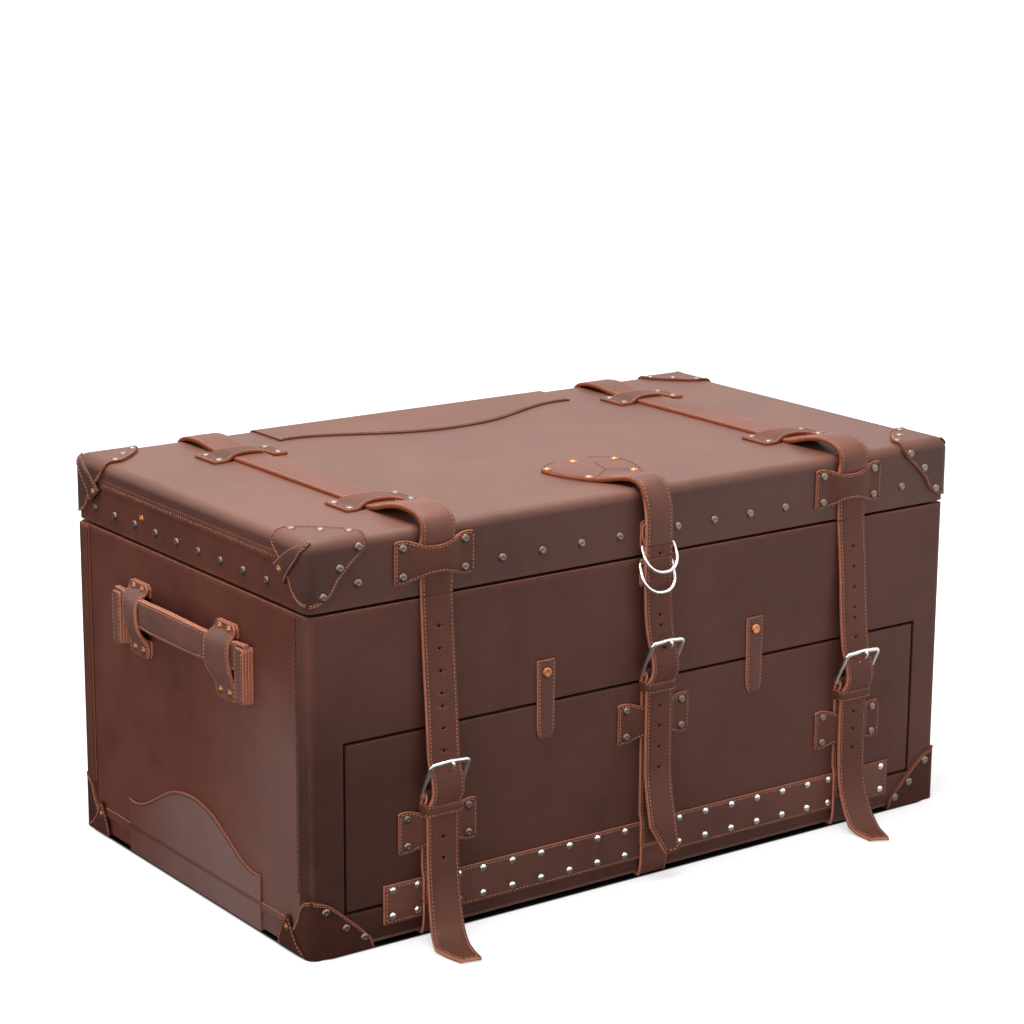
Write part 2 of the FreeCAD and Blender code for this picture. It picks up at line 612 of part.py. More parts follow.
def lid_leathers(top_board):
    """One hide over top, front and back, and a strip on each end below its fold."""
    low, high = (-HALF_W, -HALF_D, LID_LOW), (HALF_W, HALF_D, LID_TOP)
    hide = rounded_block(low, high, size.edge_radius, size.top_radius, 0)
    wood = Part.makeBox(2 * (HALF_W - size.leather), 2 * (HALF_D - size.leather),
                        size.lid_height - size.leather - size.board,
                        V(-HALF_W + size.leather, -HALF_D + size.leather, LID_LOW))
    hide = hide.cut(wood).cut(top_board.Shape)
    reach = HALF_D - size.corner_wrap
    strip_tall = size.lid_height - size.end_fold
    for sign in (-1, 1):
        x = -HALF_W - 1 if sign < 0 else HALF_W - size.leather
        hide = hide.cut(Part.makeBox(size.leather + 1, 2 * reach, strip_tall, V(x, -reach, LID_LOW)))
    solids("lid_leather", [hide])
    strips = [box("lid_end_leather_" + side, (x, "-case_depth / 2 + corner_wrap",
                                              "seam_height + lid_gap"),
                  ("leather", "case_depth - 2 * corner_wrap", "lid_height - end_fold"))
              for side, x in (("left", "-case_width / 2"), ("right", IN_X))]
    group("lid_end_leathers", strips)


def lid_back_overlay():
    """Wavy leather on the back of the lid top, folded down the lid's back."""
    half, reach, middle_x = size.overlay_half, size.overlay_reach, -4.0
    thick, fold, bend = size.overlay_thick, size.overlay_fold, size.top_radius + 4
    face = wave_face(half, reach, lambda u, v: V(middle_x + u, HALF_D - v, LID_TOP))
    top = face.extrude(V(0, 0, thick))
    low, high = (-HALF_W, -HALF_D, LID_LOW), (HALF_W, HALF_D, LID_TOP)
    inner = rounded_block(low, high, size.edge_radius, size.top_radius, 0)
    outer = rounded_block(low, (HALF_W, HALF_D, LID_TOP + thick), size.edge_radius,
                          size.top_radius + thick, thick)
    limit = Part.makeBox(2 * half, 2 * reach, fold + 2 * thick,
                         V(middle_x - half, HALF_D - bend, LID_TOP - fold))
    turn = outer.cut(inner).common(limit)
    keep_out = Part.makeBox(4 * half, 4 * reach, fold, V(-2 * half, HALF_D - bend, LID_TOP))
    solids("lid_back_overlay", [top.cut(keep_out).fuse(turn).removeSplitter()])


def lid_hinges():
    """Three butt hinges on the back: leaves on the case, leaves on the lid, pins."""
    y = HALF_D + size.knuckle_radius + 0.2
    third = size.hinge_wide / 3
    case_leaves, lid_leaves, pins = [], [], []
    outer_x = size.strap_reach - size.hinge_inset
    for x in (-outer_x, 0.0, outer_x):
        left = x - size.hinge_wide / 2
        axis = V(left, y, SEAM_Z)
        bore = Part.makeCylinder(size.hinge_pin_radius + size.pin_play, size.hinge_wide, axis, X_AXIS)
        clear = Part.makeCylinder(size.knuckle_radius + 0.3, third + 0.6,
                                  V(left + third - 0.3, y, SEAM_Z), X_AXIS)
        outer = [Part.makeCylinder(size.knuckle_radius, third - 0.3, V(start, y, SEAM_Z), X_AXIS)
                 for start in (left, left + 2 * third + 0.3)]
        middle = Part.makeCylinder(size.knuckle_radius, third - 0.6,
                                   V(left + third + 0.3, y, SEAM_Z), X_AXIS)
        leaf_low = SEAM_Z - size.hinge_tall
        plate = Part.makeBox(size.hinge_wide, size.hinge_leaf, size.hinge_tall - 0.3,
                             V(left, HALF_D, leaf_low))
        for knuckle in outer:
            plate = plate.fuse(knuckle)
            start = knuckle.BoundBox.XMin
            web = Part.makeBox(third - 0.3, size.knuckle_radius, 3.0,
                               V(start, HALF_D, SEAM_Z - 3.3))
            plate = plate.fuse(web)
        case_leaves.append(plate.cut(clear).cut(bore).removeSplitter())
        flap = Part.makeBox(size.hinge_wide, size.hinge_leaf, size.hinge_tall - 2.4,
                            V(left, HALF_D, SEAM_Z + 2.4))
        web = Part.makeBox(third - 0.6, size.knuckle_radius, 5.0,
                           V(left + third + 0.3, HALF_D, SEAM_Z + 0.3))
        for knuckle in outer:
            room = Part.makeCylinder(size.knuckle_radius + 0.3, third + 0.3,
                                     V(knuckle.BoundBox.XMin - 0.3, y, SEAM_Z), X_AXIS)
            flap = flap.cut(room)
        lid_leaves.append(flap.fuse(middle).fuse(web).cut(bore).removeSplitter())
        pins.append(Part.makeCylinder(size.hinge_pin_radius, size.hinge_wide, axis, X_AXIS))
    solids("hinge_case_leaves", case_leaves)
    solids("hinge_lid_leaves", lid_leaves)
    solids("hinge_pins", pins)


# ---------------------------------------------------------------- drop front

DOOR_X = "(case_width / 2 - door_margin)"
DOOR_TALL = "(door_top - door_bottom)"


def drop_front():
    keep(box("door_board", ("-" + DOOR_X, "-" + IN_Y, "door_bottom"),
             ("2 * " + DOOR_X, "board", DOOR_TALL)), "door_board")
    corners = [("-" + DOOR_X, "door_bottom"), (DOOR_X, "door_bottom"), (DOOR_X, "door_top"),
               ("-" + DOOR_X, "door_top")]
    skin = prism("door_leather", "XZ_Plane", corners, IN_Y, "leather")
    keep(soften(skin, on_front, "leather * 0.7"), "door_leather")


def hinge_band():
    """Studded leather band, as two halves that meet at the drop front's hinge line."""
    length = "2 * (case_width / 2 - door_margin - band_margin)"
    low_x = "band_x - (case_width / 2 - door_margin - band_margin)"
    face = "-case_depth / 2 - band_thick"
    keep(box("hinge_band_lower", (low_x, face, "band_low"),
             (length, "band_thick", "door_bottom - door_gap - band_low")),
         "hinge_band_lower")
    keep(box("hinge_band_upper", (low_x, face, "door_bottom"),
             (length, "band_thick", "band_high - door_bottom")), "hinge_band_upper")
    places = []
    reach = HALF_W - size.door_margin - size.band_margin - size.stud_margin
    for x in evenly(size.band_x - reach, size.band_x + reach, int(size.stud_columns)):
        for run in STRAPS:
            offset = x - run.x
            if abs(offset) < run.width / 2 - size.stud_radius:
                break
            clear = run.width / 2 + size.stud_radius + 1
            if abs(offset) < clear:
                x = run.x + math.copysign(clear, offset)
        else:
            places.append(x)
    proud = -HALF_D - size.band_thick
    for name, z in (("studs_lower", size.stud_low), ("studs_upper", size.stud_high)):
        spots = [(V(x, proud, z), -Y_AXIS) for x in places]
        solids(name, heads(spots, size.stud_radius, size.stud_rise))


def door_tabs():
    """Stitched tabs sewn to the drop front, closed over its top gap by press studs."""
    shapes, caps, posts = [], [], []
    half = size.tab_width / 2
    proud = size.band_thick
    for x in (size.tab_left_x, size.tab_right_x):
        outline = [V(x - half, -HALF_D, size.tab_high), V(x - half + 1, -HALF_D, size.tab_low + 26),
                   V(x, -HALF_D, size.tab_low), V(x + half - 1, -HALF_D, size.tab_low + 26),
                   V(x + half, -HALF_D, size.tab_high)]
        tab = polygon_face(outline).extrude(V(0, -proud, 0))
        above = Part.makeBox(2 * half + 2, 0.3, size.tab_high,
                             V(x - half - 1, -HALF_D - 0.3, size.door_top))
        tab = tab.cut(above)
        socket = Part.makeCylinder(3.2, 2.2, V(x, -HALF_D, size.tab_stud_z), -Y_AXIS)
        room = Part.makeCylinder(3.5, 2.5, V(x, -HALF_D, size.tab_stud_z), -Y_AXIS)
        shapes.append(tab.cut(room))
        posts.append(socket)
        caps += heads([(V(x, -HALF_D - proud, size.tab_stud_z), -Y_AXIS)],
                      size.press_radius, size.press_rise)
    solids("door_tabs", shapes)
    solids("press_stud_caps", caps)
    return posts


# ---------------------------------------------------------------- straps

def lid_strap_route(x):
    """Centre line of an outer strap over the lid, from the front seam to the back seam."""
    flat = LID_TOP + STRAP_MID
    front = -HALF_D - STRAP_MID
    back = HALF_D + STRAP_MID
    stations = [(front, LID_LOW + 0.5), (front, LID_TOP - 26), (front, LID_TOP - 20),
                (front - 2.6, LID_TOP - 10),
                (front - 0.5, LID_TOP + 2), (front + 12, LID_TOP + 9), (front + 34, LID_TOP + 12),
                (front + 58, LID_TOP + 9), (front + 80, LID_TOP + 4), (front + 98, flat),
                (front + 106, flat), (back - 106, flat), (back - 98, flat),
                (back - 78, LID_TOP + 4.2), (back - 48, LID_TOP + 8), (back - 22, LID_TOP + 6.5),
                (back - 3, LID_TOP + 0.5), (back + 2.5, LID_TOP - 14), (back, LID_TOP - 40),
                (back, LID_TOP - 46), (back, LID_LOW + 2)]
    return [(x, y, z) for y, z in smooth(stations)]


def lid_straps():
    shapes = [strap(lid_strap_route(x), size.strap_width, size.strap_thick)
              for x in (-size.strap_reach, size.strap_reach)]
    solids("lid_straps", shapes)


# Half outline of the pointed end of the centre strap: (half width, y from the front).
SPADE = [(19.0, 14.0), (22.0, 32.0), (40.0, 60.0), (60.0, 98.0), (62.0, 132.0), (18.0, 163.0)]


def centre_strap_end():
    """Pointed end riveted to the lid, with the strap down to the seam."""
    x, thick = size.centre_x, size.strap_thick
    right = [V(x + half, -HALF_D + reach, LID_TOP) for half, reach in SPADE]
    left = [V(2 * x - p.x, p.y, p.z) for p in right]
    spade = polygon_face(right + left[::-1]).extrude(V(0, 0, thick))
    front = -HALF_D
    spade = spade.cut(Part.makeBox(200, 34, 20, V(x - 100, front, LID_TOP - 1)))
    stations = [(front + 36, LID_TOP + 2), (front + 22, LID_TOP + 5), (front + 3, LID_TOP + 3),
                (front - 5.5, LID_TOP - 10), (front - 9, LID_TOP - 30),
                (front - RING_STRAP, LID_TOP - 48), (front - RING_STRAP, LID_LOW + 0.5)]
    route = [(x, y, z) for y, z in smooth(stations)]
    solids("centre_strap_end", [strap(route, size.centre_width, thick).fuse(spade).removeSplitter()])


def front_strap_route(run):
    """Centre line of a hanging strap: seam, buckle, keeper and free tail."""
    start = RING_STRAP if run.name == "centre" else STRAP_MID
    heel, x = run.heel, run.x
    stations = [(run.top_x, start, SEAM_Z)]
    if run.name == "centre":
        stations += [(x, start, heel + 108), (x, start, heel + 98), (x, start + 1.6, heel + 84),
                     (x, start + 5.0, heel + 65)]
    else:
        reach = SEAM_Z - heel - 42
        for share, proud in ((0.2, 6.0), (0.42, 11.5), (0.65, 16.5), (0.85, 19.8)):
            across = run.top_x + (x - run.top_x) * share
            stations.append((across, start + proud * 0.9, SEAM_Z - share * reach))
    stations += [(x, 20.8, heel + 42), (x, 22.3, heel + 27), (x, 22.2, heel + 12),
                 (x, 19.0, heel + 1), (x, 12.6, heel - 9), (x, 11.2, heel - 16),
                 (x, 11.0, heel - 28)]
    if run.name == "centre":
        stations += [(x, 11.0, 180), (x, 11.1, 130), (x, 11.8, 90), (x, 15.0, 64),
                     (x, 22.0, 45), (x, 32.0, 31)]
    else:
        stations += [(x, 11.2, 92), (x - 0.5, 13.5, 66), (x - 1.5, 18.0, 44), (x - 3, 26.0, 25),
                     (x - 6, 38.0, 10.5), (x - 10, 54.0, 3.6), (x - 15, 70.0, 3.2),
                     (x - 19, 84.0, 4.6)]
    return [(x, -HALF_D - proud, z) for x, proud, z in smooth(stations)]


def heel_point(low_x, heel):
    return V(low_x, -HALF_D - BAR_PROUD, heel)


def along_frame(distance, out=0.0):
    """Vector up a closed buckle's frame, and out of its face."""
    lean = math.radians(size.frame_tilt)
    return V(0, -math.sin(lean) * distance - math.cos(lean) * out,
             math.cos(lean) * distance - math.sin(lean) * out)


def prong_line(low_x, heel):
    """The prong's centre line, from the heel bar to its tip over the top bar."""
    start = heel_point(low_x, heel)
    rise = size.bar_radius + size.prong_radius + 0.25
    tip = start + along_frame(size.frame_length + 4.0, rise * (1 + 4.0 / size.frame_length))
    return start, tip


def front_straps():
    for run in STRAPS:
        body = strap(front_strap_route(run), run.width, size.strap_thick)
        start, tip = prong_line(run.x, run.heel)
        hole = Part.makeCylinder(size.prong_radius + 1.0, (tip - start).Length, start, tip - start)
        solids("front_strap_" + run.name, [body.cut(hole)])


def buckles():
    for run in STRAPS:
        base = heel_point(run.x, run.heel)
        side = X_AXIS * (run.width / 2 + size.frame_ease + size.bar_radius)
        top = along_frame(size.frame_length)
        corners = [(base - side, 3.0), (base + side, 3.0), (base + side + top, 5.0),
                   (base + top + along_frame(2.2), 30.0), (base - side + top, 5.0)]
        solids("buckle_frame_" + run.name, [wire_loop(corners, size.bar_radius)])
        start, tip = prong_line(run.x, run.heel)
        eye_radius = size.bar_radius + size.pin_play + 1.8
        eye = Part.makeCylinder(eye_radius, 6.0, base - X_AXIS * 3.0, X_AXIS)
        finger = Part.makeCylinder(size.prong_radius, (tip - start).Length, start, tip - start)
        bore = Part.makeCylinder(size.bar_radius + size.pin_play, 8.0, base - X_AXIS * 4.0, X_AXIS)
        finger = finger.fuse(Part.makeSphere(size.prong_radius, tip))
        solids("buckle_prong_" + run.name, [finger.fuse(eye).cut(bore).removeSplitter()])


def lower_straps():
    """Straps on the drop front, folded round each heel bar, and their keepers."""
    shapes, keepers = [], []
    turn = BAR_PROUD - STRAP_MID
    for run in STRAPS:
        heel = run.heel
        route = [(ON_BAND, DOOR_AXIS_Z + 5.5), (ON_BAND, size.band_high + 1),
                 (STRAP_MID, size.band_high + 10), (STRAP_MID, heel - 8)]
        for step in range(9):
            angle = math.pi * step / 8
            route.append((BAR_PROUD - turn * math.cos(angle), heel + turn * math.sin(angle)))
        route += [(BAR_PROUD + turn, heel - 2.0), (FRONT_LEAF + 1.2, heel - 9.5),
                  (FRONT_LEAF, heel - 12.5), (FRONT_LEAF, heel - 20.0)]
        body = strap([(run.x, -HALF_D - proud, z) for proud, z in route], run.width,
                     size.strap_thick)
        slot = Part.makeBox(7.0, BAR_PROUD + turn + 4.0, 12.0,
                            V(run.x - 3.5, -HALF_D - BAR_PROUD - turn - 5.5, heel - 5.0))
        shapes.append(body.cut(slot))
        reach = run.width / 2 + 0.4 + size.keeper_thick / 2
        front = 17.0 + size.keeper_thick / 2
        path = [(-reach, 0.0), (-reach, front - 2.5), (-reach + 2.5, front),
                (reach - 2.5, front), (reach, front - 2.5), (reach, 0.0)]
        keepers.append(bent_plate([(run.x + x, -HALF_D - proud) for x, proud in path],
                                  size.keeper_thick, heel - 8 - size.keeper_tall, heel - 8))
    solids("lower_straps", shapes)
    solids("strap_keepers", keepers)


def base_straps():
    """Straps under the case, from the back up the front to the drop front's hinge."""
    under = size.base_lift - size.strap_thick / 2
    front, back = -HALF_D, HALF_D
    shapes = []
    for run in STRAPS:
        rise = 60.0 if run.name == "centre" else 15.7
        stations = [(back + STRAP_MID, rise), (back + STRAP_MID, 8.0), (back + 2.4, 3.6),
                    (back + 1.0, under), (back - 9, under), (front + 9, under),
                    (front - 1.0, under), (front - 2.4, 3.6), (front - ON_BAND, 17.0),
                    (front - ON_BAND, DOOR_AXIS_Z - 5.5)]
        shapes.append(strap([(run.x, y, z) for y, z in stations], run.width, size.strap_thick))
    solids("base_straps", shapes)
    backs = [box("back_strap_" + side, (x, "case_depth / 2 + lay", "16"),
                 ("strap_width", "strap_thick", "seam_height - 19"))
             for side, x in (("left", "-strap_reach - strap_width / 2"),
                             ("right", "strap_reach - strap_width / 2"))]
    group("back_straps", backs)


# ---------------------------------------------------------------- strap loops

def bone(width, over):
    """Bone-shaped loop in the XZ plane, facing -Y, arched over a strap of that width."""
    half, tall, waist = size.loop_length / 2, size.loop_tall / 2, size.loop_waist / 2
    top = [(-half, tall - 1), (-half + 17, tall), (-half + 26, waist + 1), (0, waist),
           (half - 26, waist + 1), (half - 17, tall), (half, tall - 1)]
    outline = [V(x, 0, z) for x, z in smooth(top)]
    outline += [V(p.x, 0, -p.z) for p in reversed(outline)]
    prism_shape = polygon_face(outline).extrude(V(0, -40, 0))
    mid = size.loop_thick / 2
    rise = over + 0.2 + mid
    path = [(-half, mid), (-width / 2 - 7, mid), (-width / 2 - 1.5, rise), (width / 2 + 1.5, rise),
            (width / 2 + 7, mid), (half, mid)]
    plate = bent_plate([(x, -proud) for x, proud in path], size.loop_thick, -tall, tall)
    return plate.common(prism_shape)


def placed(shape, point, turn=None):
    copy = shape.copy()
    copy.Placement = FreeCAD.Placement(point, turn or FreeCAD.Rotation())
    return copy


def loop_rivets(point, turn=None):
    """Rivet places of a loop at a point of the face it lies on."""
    rotation = turn or FreeCAD.Rotation()
    out = rotation.multVec(V(0, -1, 0))
    return [(point + rotation.multVec(V(sx * size.rivet_pitch_x / 2, -size.loop_thick,
                                        sz * size.rivet_pitch_z / 2)), out)
            for sx in (-1, 1) for sz in (-1, 1)]


LIE_FLAT = FreeCAD.Rotation(X_AXIS, -90)


def strap_loops():
    over = size.lay + size.strap_thick
    outer = bone(size.strap_width, over)
    lid_loops, lid_places = [], []
    for x in (-size.strap_reach, size.strap_reach):
        spots = [(V(x, -HALF_D, size.lid_loop_z), None),
                 (V(x, size.top_loop_front, LID_TOP), LIE_FLAT),
                 (V(x, size.top_loop_back, LID_TOP), LIE_FLAT)]
        for point, turn in spots:
            lid_loops.append(placed(outer, point, turn))
            lid_places += loop_rivets(point, turn)
    solids("lid_loops", lid_loops)
    door_loops, door_places = [], []
    for run in STRAPS:
        point = V(run.x, -HALF_D, run.loop_z)
        door_loops.append(placed(bone(run.width, over), point))
        door_places += loop_rivets(point)
    solids("door_loops", door_loops)
    solids("door_rivets", heads(door_places, size.rivet_radius, size.rivet_rise))
    return lid_places


# ---------------------------------------------------------------- rings

RING_STRAP = 12.3


def ring_parts():
    """Two D-rings that the centre strap passes through, each in a folded chape."""
    x = size.centre_x
    inner = size.ring_radius + size.bar_play
    thick = 2.6
    lean = math.radians(size.ring_tilt)
    for name, bar_z, up in (("upper", size.ring_upper_z, 1), ("lower", size.ring_lower_z, -1)):
        centre = V(x, -HALF_D - size.ring_proud, bar_z)
        reach = inner + thick / 2
        low_proud = size.ring_proud - reach
        route = [(low_proud, bar_z + up * 30), (low_proud, bar_z)]
        for step in range(1, 8):
            angle = math.pi * step / 8
            route.append((size.ring_proud - reach * math.cos(angle),
                          bar_z - up * reach * math.sin(angle)))
        route += [(size.ring_proud + reach, bar_z), (size.ring_proud + reach, bar_z + up * 1.5),
                  (low_proud + thick + 0.3, bar_z + up * 12),
                  (low_proud + thick + 0.3, bar_z + up * 28)]
        fold = strap([(x, -HALF_D - proud, z) for proud, z in route], 30.0, thick)
        solids("ring_chape_" + name, [fold])
        side = X_AXIS * (size.ring_inside / 2 + size.ring_radius)
        bow = V(0, -math.sin(lean), -math.cos(lean)) * size.ring_drop
        corners = [(centre - side, 3.0), (centre + side, 3.0), (centre + side + bow, 19.0),
                   (centre - side + bow, 19.0)]
        solids("d_ring_" + name, [wire_loop(corners, size.ring_radius)])


# ---------------------------------------------------------------- handles

def handles():
    """Slip handles on the ends, held by riveted loops that they slide in."""
    loops, places = [], []
    y_mid, half_wide = size.handle_y, size.handle_loop_wide / 2
    low, high = size.handle_loop_low, size.handle_loop_high
    middle = (low + high) / 2
    grip_top = size.grip_low + size.grip_tall
    thick = 3.5
    for side, sign in (("left", -1), ("right", 1)):
        face = sign * HALF_W
        rise = size.handle_arch + thick / 2
        for reach in (-size.handle_loop_reach, size.handle_loop_reach):
            y = y_mid + reach
            profile = [(low, thick / 2), (low + 16, thick / 2), (middle - 21, rise - 3),
                       (middle - 8, rise), (grip_top + 2, rise), (grip_top + 5, thick / 2),
                       (high, thick / 2)]
            loops.append(bent_plate(profile, thick, y - half_wide, y + half_wide,
                                    lambda z, proud, y: V(face + sign * proud, y, z)))
            for z in (low + 9, high - 6):
                for step in (-10, 10):
                    places.append((V(face + sign * thick, y + step, z), X_AXIS * sign))
        inner = size.handle_loop_reach + half_wide + size.handle_play
        lie = size.stop_thick - size.grip_thick / 2
        near = size.handle_loop_reach - half_wide - 6
        path = [(-inner, lie), (-near, lie + 0.5), (-near * 0.5, (lie + size.grip_bow) / 2 + 2),
                (0, size.grip_bow), (near * 0.5, (lie + size.grip_bow) / 2 + 2), (near, lie + 0.5),
                (inner, lie)]
        grip = bent_plate([(sign * (HALF_W + proud), y_mid + y) for y, proud in smooth(path)],
                          size.grip_thick, size.grip_low, size.grip_low + size.grip_tall)
        for end in (-inner - size.stop_wide, inner):
            x = face if sign > 0 else face - size.stop_thick - 0.5
            stop = Part.makeBox(size.stop_thick, size.stop_wide, size.stop_tall,
                                V(x + (0.5 if sign > 0 else 0.0), y_mid + end, size.stop_low))
            grip = grip.fuse(stop)
        solids("handle_" + side, [grip.removeSplitter()])
    solids("handle_loops", loops)
    return places


# ---------------------------------------------------------------- rivets

def rivet_groups(loop_places, handle_places, posts):
    cap = size.cap_thick
    iron_lid, iron_base, copper_lid, copper_base = list(loop_places), [], [], []
    face_z = LID_LOW + 26.0
    first = size.front_rivet_first
    reaches = evenly(first, first + 3 * size.front_rivet_pitch, 4)
    for reach in reaches + [HALF_W - size.front_rivet_outer]:
        for sign in (-1, 1):
            x = sign * reach - size.front_rivet_shift
            iron_lid.append((V(x, -HALF_D, face_z), -Y_AXIS))
    for y in evenly(size.end_rivet_front - HALF_D, HALF_D - size.end_rivet_back, 9):
        for sign in (-1, 1):
            iron_lid.append((V(sign * HALF_W, y, LID_LOW + 20), X_AXIS * sign))
    copper_lid.append((V(-HALF_W, size.odd_rivet_y, face_z + 3.7), -X_AXIS))
    for sx in (-1, 1):
        for sy in (-1, 1):
            corner = V(sx * HALF_W, sy * HALF_D, 0)
            for along, down in ((63, 10.5), (39, 31), (18, 60)):
                iron_lid.append((corner + V(-sx * along, sy * cap, LID_TOP - down), Y_AXIS * sy))
            for along, back in ((19, 63), (42, 40), (65, 19)):
                iron_lid.append((corner + V(-sx * along, -sy * back, LID_TOP + cap), Z_AXIS))
            copper_lid.append((corner + V(sx * cap, -sy * 46, LID_TOP - 32), X_AXIS * sx))
            for along, up in ((17, 54), (43, 30), (60, 14)):
                iron_base.append((corner + V(-sx * along, sy * cap, up), Y_AXIS * sy))
            copper_base.append((corner + V(sx * cap, -sy * 30, 27), X_AXIS * sx))
    x, top = size.centre_x, LID_TOP + size.strap_thick
    for along, reach in ((-50, 132), (50, 132), (0, 148), (-33, 73), (33, 73)):
        copper_lid.append((V(x - 4 + along, -HALF_D + reach, top), Z_AXIS))
    solids("lid_rivets", heads(iron_lid, size.rivet_radius, size.rivet_rise))
    solids("lid_copper_rivets", heads(copper_lid, size.copper_radius, size.rivet_rise))
    solids("base_rivets", heads(iron_base, size.rivet_radius, size.rivet_rise))
    copper = heads(copper_base + handle_places, size.copper_radius, size.rivet_rise)
    solids("base_copper_rivets", copper + posts)


# ---------------------------------------------------------------- build

def check():
    """Stops if an object failed or a sub-part has no valid solid."""
    for obj in doc.Objects:
        if "Invalid" in obj.State or "Error" in obj.State:
            raise RuntimeError("failed object: " + obj.Name)
    for obj in NODES:
        shape = obj.Shape
        if shape.isNull() or not shape.isValid() or not shape.Solids:
            raise RuntimeError("bad shape: " + obj.Label)
        if min(solid.Volume for solid in shape.Solids) <= 0:
            raise RuntimeError("inverted solid: " + obj.Label)


def main():
    carcass()
    rim_lip()
    case_leather()
    end_overlays()
    corner_caps()
    top_board = lid_boards()
    lid_leathers(top_board)
    lid_back_overlay()
    lid_hinges()
    drop_front()
    hinge_band()
    posts = door_tabs()
    lid_straps()
    centre_strap_end()
    front_straps()
    buckles()
    lower_straps()
    base_straps()
    loop_places = strap_loops()
    ring_parts()
    handle_places = handles()
    rivet_groups(loop_places, handle_places, posts)
    doc.recompute()
    check()
    os.makedirs("parts", exist_ok=True)
    for obj in NODES:
        obj.Shape.exportStep(os.path.join("parts", obj.Label + ".step"))
    print(len(NODES), "nodes")


main()
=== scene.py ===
import functools
import math

import bmesh
import bpy
import numpy as np
from mathutils import Matrix, Vector
from mathutils.bvhtree import BVHTree


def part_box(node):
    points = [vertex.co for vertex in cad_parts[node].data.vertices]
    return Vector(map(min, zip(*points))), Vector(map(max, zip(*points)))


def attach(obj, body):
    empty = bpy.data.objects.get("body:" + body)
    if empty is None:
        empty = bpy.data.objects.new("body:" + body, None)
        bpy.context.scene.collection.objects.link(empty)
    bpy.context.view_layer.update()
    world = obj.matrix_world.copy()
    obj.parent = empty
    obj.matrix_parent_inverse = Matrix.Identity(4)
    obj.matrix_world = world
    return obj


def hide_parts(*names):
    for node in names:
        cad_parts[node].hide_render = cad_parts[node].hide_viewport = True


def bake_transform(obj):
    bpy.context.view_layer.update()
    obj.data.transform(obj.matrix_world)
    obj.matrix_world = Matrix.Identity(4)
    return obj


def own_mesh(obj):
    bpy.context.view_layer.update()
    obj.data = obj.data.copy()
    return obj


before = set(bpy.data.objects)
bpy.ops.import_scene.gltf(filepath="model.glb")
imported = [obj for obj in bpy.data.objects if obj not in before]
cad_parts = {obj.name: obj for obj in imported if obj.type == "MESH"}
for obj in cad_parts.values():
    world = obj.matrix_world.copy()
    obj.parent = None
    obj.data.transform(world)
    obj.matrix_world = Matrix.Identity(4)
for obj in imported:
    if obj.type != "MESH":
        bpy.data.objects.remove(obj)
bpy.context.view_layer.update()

bl_info = {
    "name": "Leather travel trunk",
    "version": (1, 0, 0),
    "blender": (4, 5, 0),
    "location": "View3D > Sidebar > Trunk",
    "description": "Leather, straps, stitching, buckles and rivets of a travel trunk",
    "category": "Object",
}

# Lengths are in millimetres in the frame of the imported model: the front faces -Y and the
# floor is z = 0. "Proud" is a distance out of a face.
MM = 0.001


def millimetres(node):
    """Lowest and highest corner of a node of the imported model, in millimetres."""
    return [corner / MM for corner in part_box(node)]


HALF_W = millimetres("back_leather")[1].x
HALF_D = millimetres("back_leather")[1].y
LID_TOP = millimetres("lid_leather")[1].z
LID_LOW = millimetres("lid_leather")[0].z
CASE_TOP = millimetres("front_leather")[1].z
CASE_LOW = millimetres("bottom_leather")[0].z
SEAM = (LID_LOW + CASE_TOP) / 2
X, Y, Z = np.eye(3)

STRAP = 4.0  # thickness of a strap
SEWN = 1.8  # stitches of a strap, out of its middle
STRAP_MID = 2.2  # middle of a strap that lies on a face, proud of it
ON_BAND = 5.2  # middle of a strap that lies on the hinge band, proud of the front
BAR_PROUD = 6.8  # heel bar of a buckle, proud of the front
RING_BAR = 5.2  # straight bar of a D-ring, proud of the front
RING_STRAP = 12.3  # middle of the centre strap where it passes the D-rings
TILT = math.radians(25.7)  # lean of a closed buckle's frame
BONE_REACH = 52.5  # half length of a bone-shaped loop
HANDLE_Y = 3.0  # middle of a handle
END_WAVE, END_WAVE_Y = (154.0, 111.5), -5.5  # half width and rise of the overlay on an end
LID_WAVE, LID_WAVE_X = (222.0, 134.0), -4.0  # and of the overlay on the back of the lid
BELOW, ABOVE = -0.5, 2.0  # far past the floor and the lid, in metres, where a box has no edge
# Extra stations near the cut ends of a route, where its edge rolls over
START_ROLL, STOP_ROLL = (0.3, 0.9), (-0.3, -0.9)
PLATE_ROLL, FOLD_ROLL = (0.3, 0.8, -0.3, -0.8), (0.3, 0.7, -0.3, -0.7)


class Run:
    """One of the three straps down the front.

    top_x and x are its places above and below the seam, heel and loop_z the heights of its
    buckle's heel bar and of its lower loop, and holes the heights of its adjusting holes.
    """

    def __init__(self, name, top_x, x, heel, loop_z, width, holes):
        self.name, self.top_x, self.x, self.heel = name, top_x, x, heel
        self.loop_z, self.width, self.holes = loop_z, width, holes


RUNS = [
    Run("left", -301.5, -300, 163, 123.5, 44,
        (356.4, 331.2, 305.6, 280.5, 266.0, 240.7, 215.0, 154.8, 114.4, 89.6)),
    Run("centre", 0, 5, 250, 192.5, 38, (347.1, 322.3, 309.5, 282.0, 210.7, 186.6, 160.7, 135.3)),
    Run("right", 306.5, 312, 185, 127, 44,
        (356.7, 331.6, 306.2, 281.0, 267.7, 243.1, 147.2, 124.7, 100.6)),
]


# ------------------------------------------------------------------ settings

def colour(red, green, blue):
    """Scene-linear colour of an 8-bit display colour."""
    shares = [value / 255 for value in (red, green, blue)]
    return tuple(v / 12.92 if v <= 0.04045 else ((v + 0.055) / 1.055) ** 2.4 for v in shares)


def swatch(name, description, shade):
    """A colour that the sidebar shows."""
    return bpy.props.FloatVectorProperty(name=name, description=description, subtype="COLOR",
                                         default=shade, min=0.0, max=1.0)


